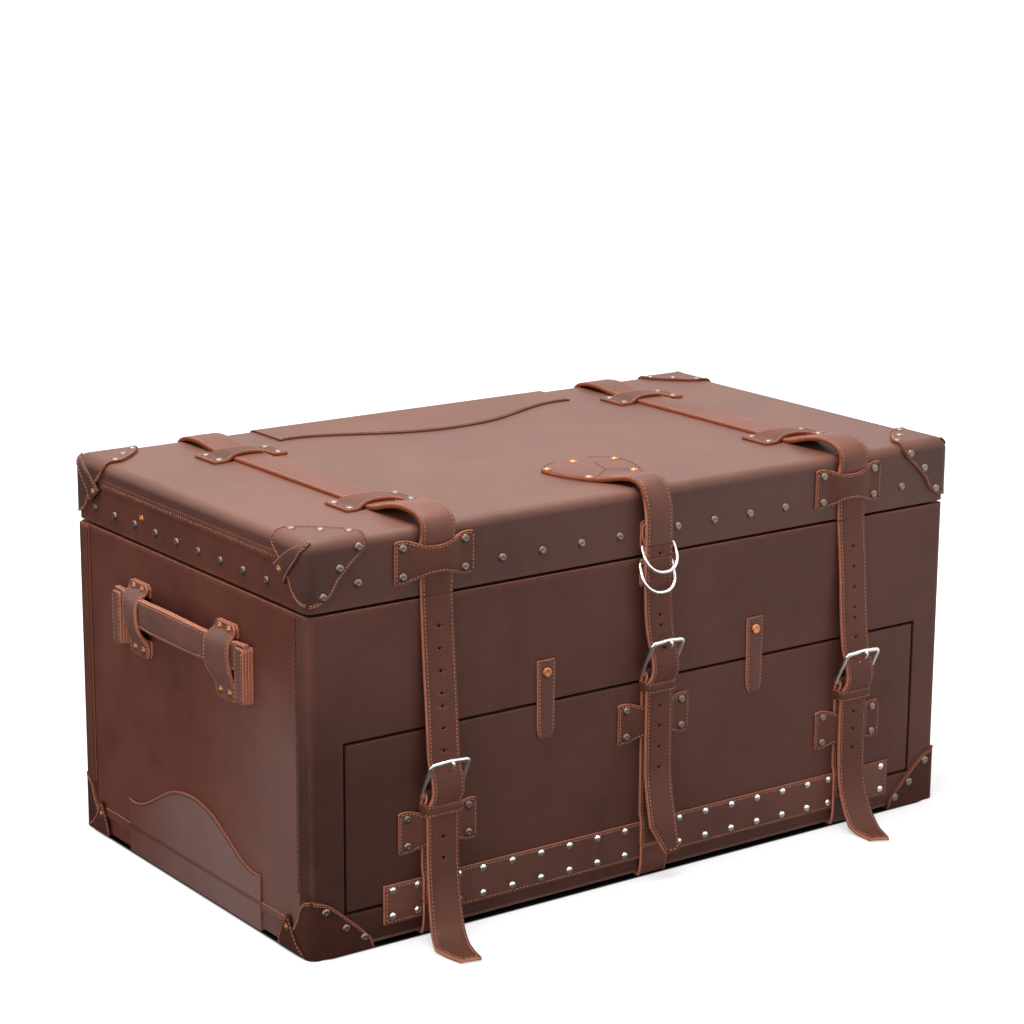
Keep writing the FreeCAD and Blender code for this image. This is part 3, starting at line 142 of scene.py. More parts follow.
class TrunkColours(bpy.types.PropertyGroup):
    """Colours of the leathers, the thread and the metals."""
    front: swatch("Front hide", "Leather of the front, back and drop front", colour(92, 54, 45))
    ends: swatch("End hide", "Leather of the two ends", colour(100, 55, 43))
    lid: swatch("Lid hide", "Leather of the lid", colour(88, 50, 41))
    strap: swatch("Strap", "Straps and loops", colour(100, 60, 48))
    handle: swatch("Handle", "Handles", colour(108, 67, 57))
    raw: swatch("Raw edge", "Cut edges of the leather", colour(214, 134, 106))
    # Painted light: a darker, more orange copy of the raw edge colour for the cut edges on top of the lid,
    # where the light falls differently.
    tanned: swatch("Lid raw edge", "Cut edges on top of the lid, tanned by the light", colour(158, 80, 46))
    thread: swatch("Thread", "Waxed sewing thread", colour(188, 126, 96))
    # Painted shade: the crease colour fills a dark strip under each row of stitches for the shade of its
    # groove and needle holes.
    crease: swatch("Crease", "Needle crease under the thread", colour(44, 24, 18))
    wood: swatch("Carcass", "Stained plywood of the carcass", colour(64, 44, 34))
    nickel: swatch("Nickel", "Buckles, rings and studs", colour(246, 243, 238))
    iron: swatch("Antique rivet", "Dark rivets", colour(150, 132, 122))
    copper: swatch("Copper", "Copper rivets", colour(230, 150, 104))


class TrunkSizes(bpy.types.PropertyGroup):
    """Small sizes of the sewing and the cut edges."""
    pitch: bpy.props.FloatProperty(name="Stitch pitch", description="Length of one stitch and its gap",
                                   default=4.6 * MM, unit="LENGTH")
    thread: bpy.props.FloatProperty(name="Thread", description="Radius of the sewing thread",
                                    default=0.6 * MM, unit="LENGTH")
    inset: bpy.props.FloatProperty(name="Stitch inset", description="Seam to the cut edge",
                                   default=3.2 * MM, unit="LENGTH")
    hole: bpy.props.FloatProperty(name="Punched hole", description="Radius of the adjusting holes",
                                  default=1.9 * MM, unit="LENGTH")


def size(name):
    """One of the small sizes, in millimetres."""
    return getattr(bpy.context.scene.trunk_sizes, name) / MM


# ------------------------------------------------------------------ shading

class Value:
    """A number that varies over a surface; sums on it add Math nodes."""

    def __init__(self, tree, socket):
        self.tree, self.socket = tree, socket

    def _sum(self, operation, *terms):
        return self.tree.node("ShaderNodeMath", {"operation": operation}, dict(enumerate(terms)))

    def __add__(self, other):
        return self._sum("ADD", self, other)

    def __sub__(self, other):
        return self._sum("SUBTRACT", self, other)

    def __mul__(self, other):
        return self._sum("MULTIPLY", self, other)

    __radd__ = __add__

    def __rsub__(self, other):
        return self._sum("SUBTRACT", other, self)

    def __abs__(self):
        return self._sum("ABSOLUTE", self)

    def least(self, other):
        return self._sum("MINIMUM", self, other)

    def most(self, other):
        return self._sum("MAXIMUM", self, other)

    def root(self):
        return self._sum("SQRT", self)

    def rise(self, low, high):
        """0 below low, 1 above high and smooth between; low may be the larger."""
        return self.tree.node("ShaderNodeMapRange", {"interpolation_type": "SMOOTHSTEP"},
                              {"Value": self, "From Min": low, "From Max": high})


class Nodes:
    """The nodes of one material or world."""

    def __init__(self, tree):
        self.nodes, self.links = tree.nodes, tree.links

    def node(self, kind, settings=None, inputs=None, output=0):
        """Adds a node with its settings and inputs, and gives the value it puts out."""
        made = self.nodes.new(kind)
        for name, setting in (settings or {}).items():
            setattr(made, name, setting)
        for name, value in (inputs or {}).items():
            self.feed(made.inputs[name], value)
        return Value(self, made.outputs[output]) if made.outputs else None

    def feed(self, socket, value):
        """Links a value to a socket, or sets the socket to a number or colour."""
        if isinstance(value, Value):
            self.links.new(value.socket, socket)
        elif socket.type == "RGBA" and len(value) == 3:
            socket.default_value = (*value, 1.0)
        else:
            socket.default_value = value


class Finish(Nodes):
    """One procedural material, built node by node around a Principled shader."""

    def __init__(self, name):
        self.material = bpy.data.materials.new(name)
        self.material.use_nodes = True
        super().__init__(self.material.node_tree)
        self.shader = self.nodes["Principled BSDF"]
        self.place = self.node("ShaderNodeTexCoord", output="Object")

    def noise(self, scale, detail=3.0, rough=0.5, place=None, warp=0.0):
        """Clouds about 1 / scale metres across."""
        return self.node("ShaderNodeTexNoise", None,
                         {"Vector": place or self.place, "Scale": scale, "Detail": detail,
                          "Roughness": rough, "Distortion": warp})

    def cells(self, scale):
        """Rounded cells, for the pores of a hide."""
        return self.node("ShaderNodeTexVoronoi", {"feature": "SMOOTH_F1"},
                         {"Vector": self.place, "Scale": scale}, "Distance")

    def blend(self, share, first, second):
        """Colour that goes from first to second as share goes from 0 to 1."""
        return self.node("ShaderNodeMix", {"data_type": "RGBA"}, {0: share, 6: first, 7: second}, 2)

    def axes(self, vector=None):
        """The three parts of a vector, or else of the surface's own place."""
        split = self.node("ShaderNodeSeparateXYZ", None, {0: vector or self.place})
        outputs = split.socket.node.outputs
        return [Value(self, outputs[i]) for i in range(3)]

    def stretched(self, scale):
        """The surface's own place, scaled by a vector."""
        return self.node("ShaderNodeVectorMath", {"operation": "MULTIPLY"},
                         {0: self.place, 1: scale})

    def mark(self, name):
        """A number painted on the points of a piece."""
        return self.node("ShaderNodeAttribute", {"attribute_name": name}, output="Fac")

    def dull(self, shader, shade, glow=None):
        """Makes a Principled shader matt, with an optional glow."""
        for name, value in (("Base Color", shade), ("Roughness", 0.9), ("Specular IOR Level", 0.0)):
            self.feed(shader.inputs[name], value)
        if glow:
            self.feed(shader.inputs["Emission Color"], glow)
            self.feed(shader.inputs["Emission Strength"], 1.0)

    def surface(self, shade, roughness, height, depth, strength=1.0, **fixed):
        """Feeds the shader: colour, roughness and bump vary, the rest is fixed."""
        self.feed(self.shader.inputs["Base Color"], shade)
        self.feed(self.shader.inputs["Roughness"], roughness)
        bump = self.node("ShaderNodeBump", None, {"Strength": strength, "Distance": depth,
                                                  "Height": height})
        self.feed(self.shader.inputs["Normal"], bump)
        for name, value in fixed.items():
            self.feed(self.shader.inputs[name.replace("_", " ")], value)
        return self.material


def tint(shade, factor, warm=0.0):
    """A lighter or darker version of a colour, warmer in its red."""
    red, green, blue = shade
    return (min(1.0, red * factor * (1 + warm)), min(1.0, green * factor),
            min(1.0, blue * factor * (1 - warm)))


def box_edge(finish, low, high):
    """Distance from a surface point to the nearest edge of a box, in metres."""
    gaps = []
    for value, a, b in zip(finish.axes(), low, high):
        gaps.append((b - a) / 2 - abs(value - (a + b) / 2))
    first, second, third = gaps
    inner = first.most(second).least(third)
    return first.least(second).most(inner)


def proud_of(finish, low, high, bend):
    """Height of a surface point above a box with rounded edges, in metres."""
    outside = []
    for value, a, b in zip(finish.axes(), low, high):
        outside.append((abs(value - (a + b) / 2) - ((b - a) / 2 - bend)).most(0.0))
    first, second, third = outside
    return (first * first + second * second + third * third).root() - bend


def leather(name, base, raw, edge=None, grain=1.0, gloss=0.0, shine=0.2, lengthwise=None, cut=None,
            rim=None, painted_sheen=None, tones=(), wear=0.55):
    """Waxed hide: cloudy colour, fine pores, soft creases, worn edges and raw cut edges.

    edge, cut, the sheen mask and the masks of tones are functions of the finish. edge gives the
    distance to a worn edge, cut a mask of the raw cut edges, which are otherwise painted on the
    points of a piece as "raw", and the sheen mask the parts where a greyish painted sheen stands in
    for a soft reflection. raw holds the colours of the cut edges on the case and on the lid, the
    second a painted light for the lid's top; rim is the height of a cut edge that faces up, and
    tones are pairs of a mask and the factors that it brings to the colour, mostly painted light
    and shade.
    """
    finish = Finish(name)
    cloud = finish.noise(5.0, 6.0, 0.55, warp=0.6).rise(0.32, 0.68)
    blotch = finish.noise(34.0, 5.0, 0.6, warp=0.4).rise(0.35, 0.7)
    speck = finish.noise(420.0, 3.0, 0.6)
    shade = finish.blend(cloud, tint(base, 0.78, 0.03), tint(base, 1.14, -0.02))
    shade = finish.blend(blotch * 0.35, shade, tint(base, 1.28, 0.03))
    shade = finish.blend(speck.rise(0.55, 0.8) * 0.35, shade, tint(base, 0.55))
    rub = finish.noise(60.0, 4.0, 0.7)
    roughness = 0.44 - gloss + cloud * 0.05 + blotch * 0.05 + speck * 0.08
    # Painted sheen: a greyish colour laid where a soft reflection falls.
    if painted_sheen:
        shade = finish.blend(painted_sheen(finish) * (0.75 + cloud * 0.25), shade, colour(132, 104, 97))
    for mask, factors in tones:
        shade = finish.node("ShaderNodeMix", {"data_type": "RGBA", "blend_type": "MULTIPLY"},
                            {0: mask(finish), 6: shade, 7: factors}, 2)
    if edge:
        worn = edge(finish).rise(0.0075, 0.0005) * rub.rise(0.25, 0.65)
        shade = finish.blend(worn * wear, shade, tint(base, 1.9, 0.12))
        roughness = roughness + worn * 0.08
    cut_mask = cut(finish) if cut else finish.mark("raw")
    if rim:
        height_above = finish.axes()[2]
        facing = finish.axes(finish.node("ShaderNodeTexCoord", output="Normal"))[2]
        rim_mask = facing.rise(0.3, 0.8) * height_above.rise(rim - 0.0012, rim - 0.0004) * 0.5
        cut_mask = cut_mask.most(rim_mask)
    fibre = finish.noise(900.0, 2.0, 0.6)
    fibres = [finish.blend(fibre.rise(0.3, 0.7), tint(tone, 0.75), tint(tone, 1.12)) for tone in raw]
    # On top of the lid the cut edges take the second raw colour, a painted light.
    on_lid = finish.axes()[2].rise((LID_TOP - 24) * MM, (LID_TOP - 4) * MM)
    raw_shade = finish.blend(on_lid, *fibres)
    raw_shade = finish.blend(rub.rise(0.45, 0.8) * 0.3, raw_shade, tint(base, 1.2))
    shade = finish.blend(cut_mask, shade, raw_shade)
    roughness = roughness + cut_mask * 0.3
    pores = finish.cells(520.0 / grain)
    crease = finish.noise(85.0, 4.0, 0.65, warp=1.2)
    height = pores * 0.35 + fibre * 0.3 + crease * 0.9 * grain
    if lengthwise:
        ridges = finish.noise(1.0, 3.0, 0.6, finish.stretched(lengthwise))
        height = height + ridges * 1.6
    return finish.surface(shade, roughness, height, 0.0005, 0.45,
                          Specular_IOR_Level=shine, Coat_Weight=0.03, Coat_Roughness=0.3)


def metal(name, base, rough, tarnish, spots):
    """Cast or drawn metal with tarnish in its hollows and fine handling scratches."""
    finish = Finish(name)
    stain = finish.noise(140.0, 4.0, 0.6, warp=0.5).rise(0.35, 0.7)
    scratch = finish.noise(1.0, 3.0, 0.7, finish.stretched((900.0, 2600.0, 700.0)))
    shade = finish.blend(stain * spots, base, tarnish)
    shade = finish.blend(scratch.rise(0.6, 0.8) * 0.3, shade, tint(base, 0.6))
    roughness = rough + stain * 0.12 + scratch * 0.06
    return finish.surface(shade, roughness, stain * 0.5 + scratch * 0.3, 0.0002, 0.3, Metallic=1.0)


def thread_finish(name, base):
    """Waxed linen thread: twisted strands, darker where it has been handled."""
    finish = Finish(name)
    soil = finish.noise(50.0, 4.0, 0.6).rise(0.35, 0.7)
    strand = finish.noise(1.0, 2.0, 0.5, finish.stretched((1500.0, 1500.0, 1500.0)))
    shade = finish.blend(soil * 0.6, base, tint(base, 0.55))
    return finish.surface(shade, 0.55 + strand * 0.2, strand, 0.0002, 0.4)


def crease_shade_finish(base):
    """Needle crease: dark painted shade of the stitch groove and needle holes, with wax gathered along it."""
    finish = Finish("needle_crease")
    wax = finish.noise(300.0, 3.0, 0.6).rise(0.4, 0.7)
    return finish.surface(finish.blend(wax, base, tint(base, 1.5)), 0.5 + wax * 0.2, wax, 0.0002, 0.3)


def plywood(base):
    """Dark-stained plywood: long grain and open pores."""
    finish = Finish("stained_plywood")
    rings = finish.noise(1.0, 5.0, 0.6, finish.stretched((3.0, 60.0, 60.0)), 0.3)
    pore = finish.noise(1.0, 2.0, 0.6, finish.stretched((60.0, 1400.0, 1400.0)))
    shade = finish.blend(rings.rise(0.35, 0.65), tint(base, 0.75), tint(base, 1.25))
    shade = finish.blend(pore.rise(0.6, 0.75) * 0.5, shade, tint(base, 0.4))
    return finish.surface(shade, 0.55 + pore * 0.15, rings * 0.6 + pore * 0.5, 0.0004, 0.3)


@functools.cache
def looks():
    """The trunk's finishes by name, made once."""
    settings = bpy.context.scene.trunk_colours
    shades = {name: tuple(getattr(settings, name)) for name in settings.__annotations__}
    front, ends, lid, strap, thread = (shades[name] for name in ("front", "ends", "lid", "strap", "thread"))
    raw = shades["raw"], shades["tanned"]
    worn_raw = [tint(tone, 0.42) for tone in raw]
    wide, deep = HALF_W * MM, HALF_D * MM
    rim = CASE_TOP * MM
    lid_box = (-wide, -deep, BELOW), (wide, deep, LID_TOP * MM)
    base_box = (-wide, -deep, 3 * MM), (wide, deep, ABOVE)

    def case_edge(finish):
        return box_edge(finish, (-wide, -deep, BELOW), (wide, deep, rim))

    def lid_edge(finish):
        return box_edge(finish, (-wide, -deep, LID_LOW * MM), (wide, deep, LID_TOP * MM))

    def lid_cap_cut(finish):
        return proud_of(finish, *lid_box, 0.009).rise(0.0017, 0.0010)

    def base_cap_cut(finish):
        return proud_of(finish, *base_box, 0.009).rise(0.0021, 0.0014)

    def lid_overlay_cut(finish):
        return proud_of(finish, *lid_box, 0.011).rise(0.0018, 0.0012)

    def end_overlay_cut(finish):
        return (abs(finish.axes()[0]) - wide).rise(0.0019, 0.0014)

    # Painted sheen: the end is greyed lower down towards its front, where a soft reflection falls.
    def painted_end_sheen(finish):
        _, depth, height = finish.axes()
        return depth.rise(-0.02, -0.22) * height.rise(0.36, 0.2) * 0.55

    # Painted sheen: the wavy overlay is greyed, most of all towards the front, for the sheen it catches at a
    # grazing angle.
    def painted_overlay_sheen(finish):
        return finish.axes()[1].rise(0.2, -0.08) * 0.8

    # Painted shade: a darker, redder band along the crease where the overlay lies over the edge of the bottom
    # leather.
    def painted_fold_shade(finish):
        return 1.0 - abs(finish.axes()[2] - 0.034).rise(0.0005, 0.0042)

    # Darker towards the lower left of the front.
    def front_lower_left_darker(finish):
        side, _, height = finish.axes()
        return side.rise(-0.12, -0.4) * height.rise(0.34, 0.18)

    # The strap colour is raised by a quarter as a painted sheen of the lid's top; this mask brings it back
    # down where the straps hang below the top.
    def below_painted_top_sheen(finish):
        return finish.axes()[2].rise((LID_TOP - 4) * MM, (LID_TOP - 44) * MM)

    # Painted sheen: the top face is made paler, standing in for the soft reflection that the lid's top
    # catches.
    def top_painted_sheen(finish):
        return finish.axes()[2].rise((LID_TOP - 12) * MM, (LID_TOP - 0.5) * MM)

    made = {
        "front": leather("front_hide", front, raw, case_edge, shine=0.26, rim=rim, wear=0.4,
                         tones=[(front_lower_left_darker, (0.62, 0.58, 0.52))]),
        "ends": leather("end_hide", ends, raw, case_edge, shine=0.16, rim=rim, painted_sheen=painted_end_sheen),
        # Lid, its caps and its back overlay: a painted sheen makes their top face paler.
        "lid": leather("lid_hide", lid, raw, lid_edge, gloss=0.04, shine=0.4, wear=0.2,
                       tones=[(top_painted_sheen, (1.5, 1.8, 1.68))]),
        "lid_end": leather("lid_end_hide", tint(ends, 0.9), raw, lid_edge, shine=0.16, wear=0.3),
        "lid_cap": leather("lid_cap_hide", tint(lid, 0.86), worn_raw, cut=lid_cap_cut, grain=1.2,
                           shine=0.38, tones=[(top_painted_sheen, (1.6, 1.8, 1.68))]),
        "base_cap": leather("base_cap_hide", tint(ends, 0.54), worn_raw, cut=base_cap_cut, grain=1.2,
                            shine=0.14),
        "welt": leather("welt_edge", lid, [tint(tone, 0.5) for tone in raw], grain=1.2),
        "end_overlay": leather("end_overlay_hide", tint(ends, 1.05), worn_raw, cut=end_overlay_cut,
                               shine=0.2, painted_sheen=painted_overlay_sheen,
                               tones=[(painted_fold_shade, (0.7, 0.55, 0.5))]),
        "lid_overlay": leather("lid_overlay_hide", lid, worn_raw, cut=lid_overlay_cut, shine=0.36,
                               tones=[(top_painted_sheen, (1.6, 1.82, 1.62))]),
        # Straps: lightened as a painted sheen of the lid's top, darker again where they hang below it.
        "strap": leather("strap_hide", tint(strap, 1.25), raw, grain=1.3, shine=0.36,
                         tones=[(below_painted_top_sheen, (0.8, 0.8, 0.8))]),
        "tail": leather("creased_strap_hide", tint(strap, 0.96), raw, grain=1.3,
                        lengthwise=(260.0, 260.0, 9.0)),
        "loop": leather("loop_hide", tint(strap, 0.92), raw, grain=1.2),
        "handle": leather("handle_hide", shades["handle"], raw, grain=1.4, shine=0.45),
        "thread": thread_finish("waxed_thread", thread),
        # A dark copy of the thread, which paints the shade of the needle holes that the stitches sink into.
        "hole_shaded_thread": thread_finish("stained_thread", tint(thread, 0.22)),
        "steel": metal("hinge_steel_metal", colour(120, 116, 110), 0.38, colour(70, 64, 58), 0.5),
        "plywood": plywood(shades["wood"]),
        "crease": crease_shade_finish(shades["crease"]),
    }
    for name, title, rough, tarnish, spots in (("nickel", "bright_nickel", 0.14, 0.8, 0.3),
                                               ("iron", "antique_rivet_metal", 0.34, 0.5, 0.6),
                                               ("copper", "copper_metal", 0.34, 0.55, 0.7)):
        made[name] = metal(title, shades[name], rough, tint(shades[name], tarnish), spots)
    return made


# ------------------------------------------------------------------ paths

def unit(vectors):
    """Vectors of length one."""
    return vectors / np.linalg.norm(vectors, axis=-1, keepdims=True)


def distances(points):
    """Distance of each point of a path from its start, along the path."""
    return np.concatenate([[0], np.cumsum(np.linalg.norm(np.diff(points, axis=0), axis=1))])


def between(spots, along, rows):
    """Vectors known at distances along a path, worked out at other spots of it."""
    return np.stack([np.interp(spots, along, rows[:, i]) for i in range(3)], -1)


def circle(sides):
    """Cosines and sines of even steps round a full turn."""
    turn = np.arange(sides) * math.tau / sides
    return np.cos(turn), np.sin(turn)


def drawn_in(distance, bend):
    """How much a rounded corner draws in a side, at a distance from the end."""
    into = np.clip(bend - distance, 0, bend)
    return bend - np.sqrt(bend ** 2 - into ** 2)


def chamfer(distance, cut):
    """How much a corner cut off at 45 degrees draws in a side, at a distance from the end."""
    return np.clip(cut - distance, 0, cut)


def half_turn(proud, z, reach, up):
    """Points (proud, height) of a strap that folds round a bar, from its inner side outwards."""
    turn = [math.pi * k / 12 for k in range(13)]
    return [(proud - reach * math.cos(a), z + up * reach * math.sin(a)) for a in turn]


def smooth(points, rounds=3):
    """Points of a rounded path: every corner is cut, so it never bulges past a station."""
    points = np.array(points, float)
    for _ in range(rounds):
        first, second = points[:-1], points[1:]
        cut = np.empty((2 * len(first), points.shape[1]))
        cut[0::2] = 0.75 * first + 0.25 * second
        cut[1::2] = 0.25 * first + 0.75 * second
        points = np.vstack([points[:1], cut[1:-1], points[-1:]])
    return points


def rounded(corners, closed=False, steps=6):
    """Path through corners given as (point, bend radius), each turned by an arc."""
    path = []
    count = len(corners)
    for i, (point, bend) in enumerate(corners):
        point = np.array(point, float)
        if not bend or (not closed and i in (0, count - 1)):
            path.append(point)
            continue
        back = unit(np.array(corners[i - 1][0], float) - point)
        ahead = unit(np.array(corners[(i + 1) % count][0], float) - point)
        half = math.acos(np.clip(back @ ahead, -1, 1)) / 2
        centre = point + unit(back + ahead) * bend / math.sin(half)
        start, stop = (point + way * bend / math.tan(half) - centre for way in (back, ahead))
        angle = math.acos(np.clip(unit(start) @ unit(stop), -1, 1))
        for k in range(steps + 1):
            a, b = math.sin(angle * (1 - k / steps)), math.sin(angle * k / steps)
            path.append(centre + (start * a + stop * b) / math.sin(angle))
    return np.array(path)


def curve(knots, steps=12):
    """Smooth curve through knots."""
    knots = np.asarray(knots, float)
    padded = np.vstack([2 * knots[0] - knots[1], knots, 2 * knots[-1] - knots[-2]])
    points = []
    for i in range(1, len(padded) - 2):
        a, b, c, d = padded[i - 1:i + 3]
        for k in range(steps):
            t = k / steps
            points.append(0.5 * (2 * b + (c - a) * t + (2 * a - 5 * b + 4 * c - d) * t ** 2
                                 + (3 * b - a - 3 * c + d) * t ** 3))
    points.append(knots[-1])
    return np.array(points)


class Route:
    """Even stations along a path, each with its tangent, across and outward directions."""

    def __init__(self, points, across, step=4.0, trims=()):
        points = np.array(points, float)
        runs = distances(points)
        self.length = runs[-1]
        spots = np.linspace(0, self.length, max(3, int(self.length / step) + 1))
        extra = [t for t in trims if t > 0] + [self.length + t for t in trims if t < 0]
        spots = np.array([s for s in spots if all(abs(s - e) > 0.3 for e in extra)] + extra)
        self.along = np.unique(spots)
        self.to_end = self.length - self.along
        self.from_ends = np.minimum(self.along, self.to_end)
        self.points = between(self.along, runs, points)
        self.tangent = unit(np.gradient(self.points, self.along, axis=0))
        across = np.array(across, float)
        if across.ndim == 1:
            across = across - (self.tangent @ across)[:, None] * self.tangent
        else:
            across = between(self.along, runs, across)
        self.across = unit(across)
        self.outward = unit(np.cross(self.tangent, self.across))

    def face(self, direction):
        """Turns the outward side of the route towards a direction."""
        if self.outward[0] @ direction < 0:
            self.outward = -self.outward

    def at(self, distance, side=0.0, out=0.0):
        """Points at distances along the path, to one side of it and out of it."""
        distance = np.atleast_1d(distance).astype(float)
        side, out = (np.broadcast_to(value, distance.shape)[:, None] for value in (side, out))
        points, across, outward = (between(distance, self.along, rows)
                                   for rows in (self.points, self.across, self.outward))
        return points + across * side + outward * out, unit(outward)

    def reach(self, level):
        """Distance along the path where it first crosses a height."""
        values = self.points[:, 2] - level
        for i in range(len(values) - 1):
            if values[i] == 0 or values[i] * values[i + 1] < 0:
                share = values[i] / (values[i] - values[i + 1])
                return self.along[i] + share * (self.along[i + 1] - self.along[i])
        raise ValueError("the path doesn't cross %s" % level)


# ------------------------------------------------------------------ pieces

def head_profile(kind, radius, rise):
    """Half outline of a fastener's head: (distance from its axis, height)."""
    shapes = {
        "iron": [(0, 0.78), (0.1, 0.78), (0.16, 0.96), (0.4, 1), (0.66, 0.93), (0.83, 0.74), (0.94, 0.44),
                 (1, 0.14), (1, 0)],
        "stud": [(0, 1), (0.3, 0.96), (0.55, 0.84), (0.75, 0.64), (0.9, 0.38), (0.98, 0.16), (1, 0)],
        "copper": [(0, 1), (0.2, 0.98), (0.34, 0.88), (0.4, 0.62), (0.46, 0.5), (0.7, 0.52), (0.9, 0.42),
                   (0.98, 0.24), (1, 0)],
        "press": [(0, 0.8), (0.5, 0.84), (0.72, 0.96), (0.86, 0.9), (0.96, 0.6), (1, 0.25), (1, 0)],
    }
    return [(r * radius, h * rise) for r, h in shapes[kind]]


# The crease is a dark strip of painted shade under a row of stitches.
CREASE = 99  # stands for the crease's own place, after the other finishes of a piece


class Piece:
    """Collects the faces of one piece, in millimetres, before it becomes a mesh."""

    def __init__(self):
        self.points, self.faces, self.paints, self.raw = [], [], [], []
        self.count = 0

    def add(self, points, faces, paint=0, raw=None):
        """Points and faces, with the place of their finish and how raw each point is."""
        points = np.asarray(points, float)
        self.points.append(points)
        self.raw.append(np.zeros(len(points)) if raw is None else np.asarray(raw, float))
        self.faces += [tuple(int(i) + self.count for i in face) for face in faces]
        self.paints += [paint] * len(faces)
        self.count += len(points)

    def tube(self, rings, closed=False, paint=0, raw=None):
        """Skin over rings of points, capped at both ends unless it is closed."""
        rings = np.asarray(rings)
        count, sides = rings.shape[:2]
        faces = []
        for i in range(count if closed else count - 1):
            a, b = i * sides, (i + 1) % count * sides
            faces += [(a + j, b + j, b + (j + 1) % sides, a + (j + 1) % sides) for j in range(sides)]
        if not closed:
            faces += [tuple(range(sides)), tuple(range((count - 1) * sides, count * sides))[::-1]]
        self.add(rings.reshape(-1, 3), faces, paint, None if raw is None else np.ravel(raw))

    def band(self, route, left, right, thick, groove=3.2, crown=0.3, sway=0.0, raw_ends=(1, 1),
             raw_share=1.0):
        """Leather band along a route, left and right of it, with rolled edges and creased seams.

        raw_ends says whether the band is cut at its start and at its end, or goes on in another.
        """
        roll = min(0.9, 0.28 * thick)
        along = route.along
        left = np.broadcast_to(left, along.shape).astype(float)
        right = np.broadcast_to(right, along.shape).astype(float)
        width = left + right
        soft = np.clip(1 - route.from_ends / roll, 0, 1) * np.where(along < route.length / 2, *raw_ends)
        half = thick / 2 - roll * soft ** 2
        room = np.minimum(1.0, width / (2.4 * groove + 4))
        # Outline from the lower edge inwards: (inset, which face, step off that face, how raw)
        edge = [(0.0, -1, roll, 1.0), (0.0, 0, 0.0, 1.0), (0.0, 1, -roll, 0.9),
                (0.3 * roll, 1, -0.3 * roll, 0.5), (roll, 1, 0.0, 0.08)]
        if groove:
            edge += [(groove - 0.9, 1, 0.0, 0.0), (groove, 1, -0.35, 0.0), (groove + 0.9, 1, 0.0, 0.0)]
        else:
            room = np.ones_like(room)
        columns = []
        for inset, level, offset, raw in edge:
            columns.append((-left + inset * room, level * half + offset * (level or 1), raw))
        for share in (0.3, 0.5, 0.7):
            columns.append((-left + width * share, half + crown * 4 * share * (1 - share), 0.0))
        for inset, level, offset, raw in reversed(edge):
            columns.append((right - inset * room, level * half + offset * (level or 1), raw))
        for share in (0.0, 0.5, 1.0):
            inset = roll * (1 - 2 * share)
            columns.append((right - width * share - inset, -half, 0.1))
        phase = 0.37 * float(route.points[0].sum())
        wander = sway * (np.sin(along / 61 + phase) + 0.6 * np.sin(along / 23 + 2 * phase))
        rings = np.empty((len(along), len(columns), 3))
        raws = np.empty((len(along), len(columns)))
        for j, (side, out, raw) in enumerate(columns):
            rings[:, j] = (route.points + route.across * (side + wander)[:, None]
                           + route.outward * out[:, None])
            raws[:, j] = np.maximum(raw, soft * 0.9)
        self.tube(rings, raw=raws * raw_share)

    def seam(self, path, outward, paint=1, pitch=None, start=0.0, size_factor=1.0):
        """A row of stitches along a path, each a bead that dips into the leather at its ends."""
        pitch = pitch or size("pitch")
        radius = size("thread") * size_factor
        path = np.asarray(path, float)
        runs = distances(path)
        stop = runs[-1]
        count = int((stop - start) / pitch)
        if count < 1:
            return
        outward = np.broadcast_to(np.asarray(outward, float), path.shape)
        marks = np.linspace(start, stop, max(3, int((stop - start) / 3)))
        self.crease(between(marks, runs, path), unit(between(marks, runs, outward)))
        steps = np.array([-0.4, -0.3, 0.0, 0.3, 0.4])
        dips = np.array([-1.0, 0.15, 0.55, 0.15, -1.0]) * radius
        girth = np.array([0.45, 0.9, 1.0, 0.9, 0.45]) * radius
        spots = start + (np.arange(count)[:, None] + 0.5 + steps[None]) * ((stop - start) / count)
        centre, out = between(spots, runs, path), unit(between(spots, runs, outward))
        ahead = unit(centre[:, -1:] - centre[:, :1])
        side = unit(np.cross(ahead, out))
        centre = centre + out * dips[None, :, None]
        cosines, sines = circle(6)
        rings = (centre[:, :, None] + out[:, :, None] * (cosines * girth[:, None])[None, :, :, None]
                 + side[:, :, None] * (sines * girth[:, None])[None, :, :, None])
        for bead in rings:
            self.tube(bead, paint=paint)

    def crease(self, path, outward):
        """Dark strip under a row of stitches: painted shade of the pressed groove and needle holes."""
        ahead = np.gradient(path, axis=0)
        side = unit(np.cross(ahead, outward)) * 0.62
        count = len(path)
        faces = [(i, i + 1, count + i + 1, count + i) for i in range(count - 1)]
        self.add(np.vstack([path - side, path + side]) + np.vstack([outward, outward]) * 0.03, faces, CREASE)

    def sew(self, route, side, out, paint=1, start=4.0, stop=4.0, pitch=None):
        """Stitches along a route, at a distance to its side that may vary along it."""
        spots = np.linspace(start, route.length - stop, max(3, int(route.length / 2)))
        side = np.interp(spots, route.along, np.broadcast_to(side, route.along.shape))
        path, outward = route.at(spots, side, out)
        self.seam(path, outward, paint, pitch)

    def sew_edges(self, route, half, inset, out, **stitches):
        """A row of stitches inside each edge of a band."""
        for side in (inset - half, half - inset):
            self.sew(route, side, out, **stitches)

